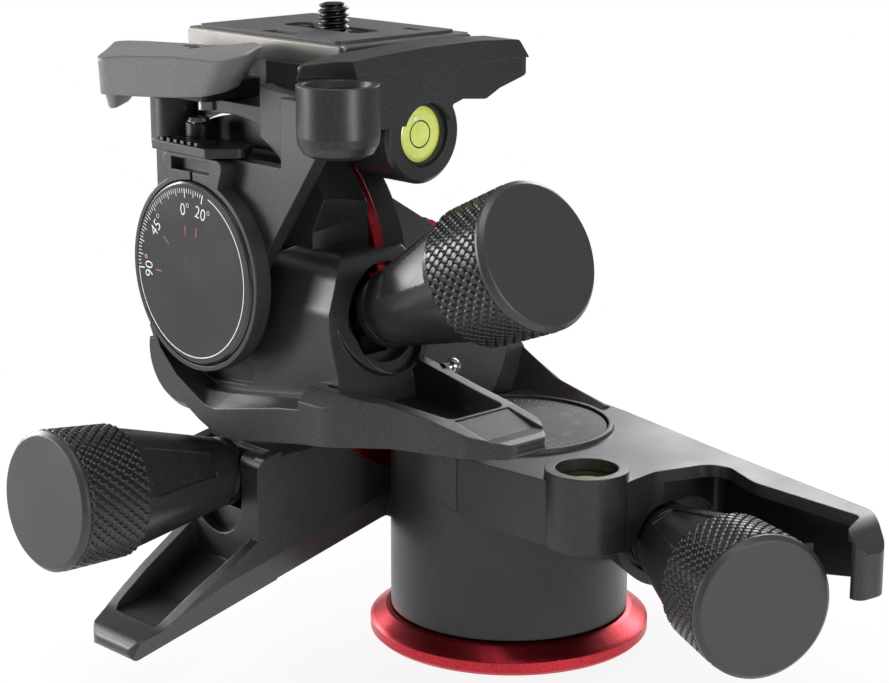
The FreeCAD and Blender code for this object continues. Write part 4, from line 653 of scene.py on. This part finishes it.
floor_mesh = bpy.data.meshes.new("floor")
floor_mesh.from_pydata([(x * FLOOR_HALF, y * FLOOR_HALF, 0) for x, y in ((-1, -1), (1, -1), (1, 1), (-1, 1))],
                       [], [(0, 1, 2, 3)])
floor = bpy.data.objects.new("floor", floor_mesh)
bpy.context.scene.collection.objects.link(floor)
floor.location.z = -FLOOR_DROP
floor_material = bpy.data.materials.new("painted_board_white")
floor_material.use_nodes = True
tree = floor_material.node_tree
tree.nodes.clear()
path = add_node(tree, "LightPath").outputs
by_eye = add_node(tree, "Math", {"operation": "MAXIMUM"}, {0: path["Is Camera Ray"], 1: path["Is Glossy Ray"]})
seen = add_node(tree, "Math", {"operation": "MAXIMUM"}, {0: by_eye.outputs[0], 1: path["Is Transmission Ray"]})
far = add_node(tree, "VectorMath", {"operation": "LENGTH"},
               {0: add_node(tree, "TexCoord").outputs["Object"]}).outputs["Value"]
# painted light: a pool of glow near the head, seen in reflections and through clear pieces, fading further out
painted_light_pool = add_node(tree, "MapRange",
                {"From Min": POOL_NEAR, "From Max": POOL_FAR, "To Min": 1.0, "To Max": POOL_DIM},
                {"Value": far}).outputs["Result"]
bright = add_node(tree, "Math", {"operation": "MAXIMUM"}, {0: painted_light_pool, 1: path["Is Camera Ray"]})
glow = add_node(tree, "Emission", {"Color": WHITE}, {"Strength": bright.outputs[0]})
clean = add_node(tree, "MapRange",
                 {"From Min": SHADOW_NEAR, "From Max": SHADOW_FAR, "To Min": SHADOW_SHARE, "To Max": 1.0},
                 {"Value": far}).outputs["Result"]
share = add_node(tree, "Math", {"operation": "MULTIPLY"}, {0: seen.outputs[0], 1: clean})
matt_white = add_node(tree, "BsdfDiffuse", {"Color": linear("#f4f4f4")})
surface = add_node(tree, "MixShader", {}, {0: share.outputs[0], 1: matt_white.outputs[0], 2: glow.outputs[0]})
add_node(tree, "OutputMaterial", {}, {"Surface": surface.outputs[0]})
floor_mesh.materials.append(floor_material)
print("floor", 2 * FLOOR_HALF, "m wide")

# %% [markdown]
# ## Studio air
# Beyond the board the camera sees plain white again.  The light that comes from all round is dim at the
# horizon and brighter overhead, as in a room with a pale ceiling, so that the undersides stay dark.

# %% World
HORIZON_LIGHT, CEILING_LIGHT, CEILING_FROM = 0.07, 0.45, 0.9

world = bpy.data.worlds.new("studio")
world.use_nodes = True
tree = world.node_tree
tree.nodes.clear()
height = add_node(tree, "SeparateXYZ", {}, {0: add_node(tree, "TexCoord").outputs["Generated"]}).outputs["Z"]
room = add_node(tree, "MapRange",
                {"From Min": 0.0, "From Max": CEILING_FROM, "To Min": HORIZON_LIGHT, "To Max": CEILING_LIGHT},
                {"Value": height}).outputs["Result"]
room_light = add_node(tree, "Background", {"Color": WHITE}, {"Strength": room})
backdrop = add_node(tree, "Background", {"Color": WHITE, "Strength": 1.0})
air = add_node(tree, "MixShader", {}, {0: add_node(tree, "LightPath").outputs["Is Camera Ray"],
                                       1: room_light.outputs[0], 2: backdrop.outputs[0]})
add_node(tree, "OutputWorld", {}, {"Surface": air.outputs[0]})
bpy.context.scene.world = world
print("room light from", HORIZON_LIGHT, "to", CEILING_LIGHT)

# %% [markdown]
# ## Soft lamps
# Black plastic shows its shape only by what it reflects.  So each lamp is a soft box placed where one
# family of surfaces mirrors it to the eye: the key for the tops of the knobs, the high one behind for the
# rounded shoulders, the low one in front for the dial and the wings, and one at the right for the ends.
# The boxes are large and weak, so a colour shows about as it is written, and the camera doesn't see them.

# %% Lamps
LAMPS = [
    # lamp, place, aim, size, watts
    ("key_left", (-0.88, -0.20, 0.30), (0.01, -0.03, 0.07), (0.62, 0.44), 10.0),
    ("back_high", (-0.30, 0.85, 0.45), (0, 0, 0.06), (0.70, 0.30), 5.0),
    ("low_front", (-0.55, -0.62, 0.16), (0, -0.04, 0.05), (0.30, 0.25), 3.0),
    ("fill_right", (0.85, -0.06, 0.16), (0, 0, 0.05), (0.30, 0.26), 3.5),
    ("top", (0.15, -0.20, 0.80), (0, 0, 0.06), (0.40, 0.40), 2.5),
]
for name, place, aim, size, watts in LAMPS:
    lamp = bpy.data.lights.new(name, "AREA")
    lamp.shape = "RECTANGLE"
    lamp.size, lamp.size_y = size
    lamp.energy = watts
    softbox = bpy.data.objects.new(name, lamp)
    bpy.context.scene.collection.objects.link(softbox)
    softbox.location = place
    softbox.rotation_euler = (Vector(aim) - Vector(place)).to_track_quat("-Z", "Y").to_euler()
    softbox.visible_camera = False
print("lamps", len(LAMPS))
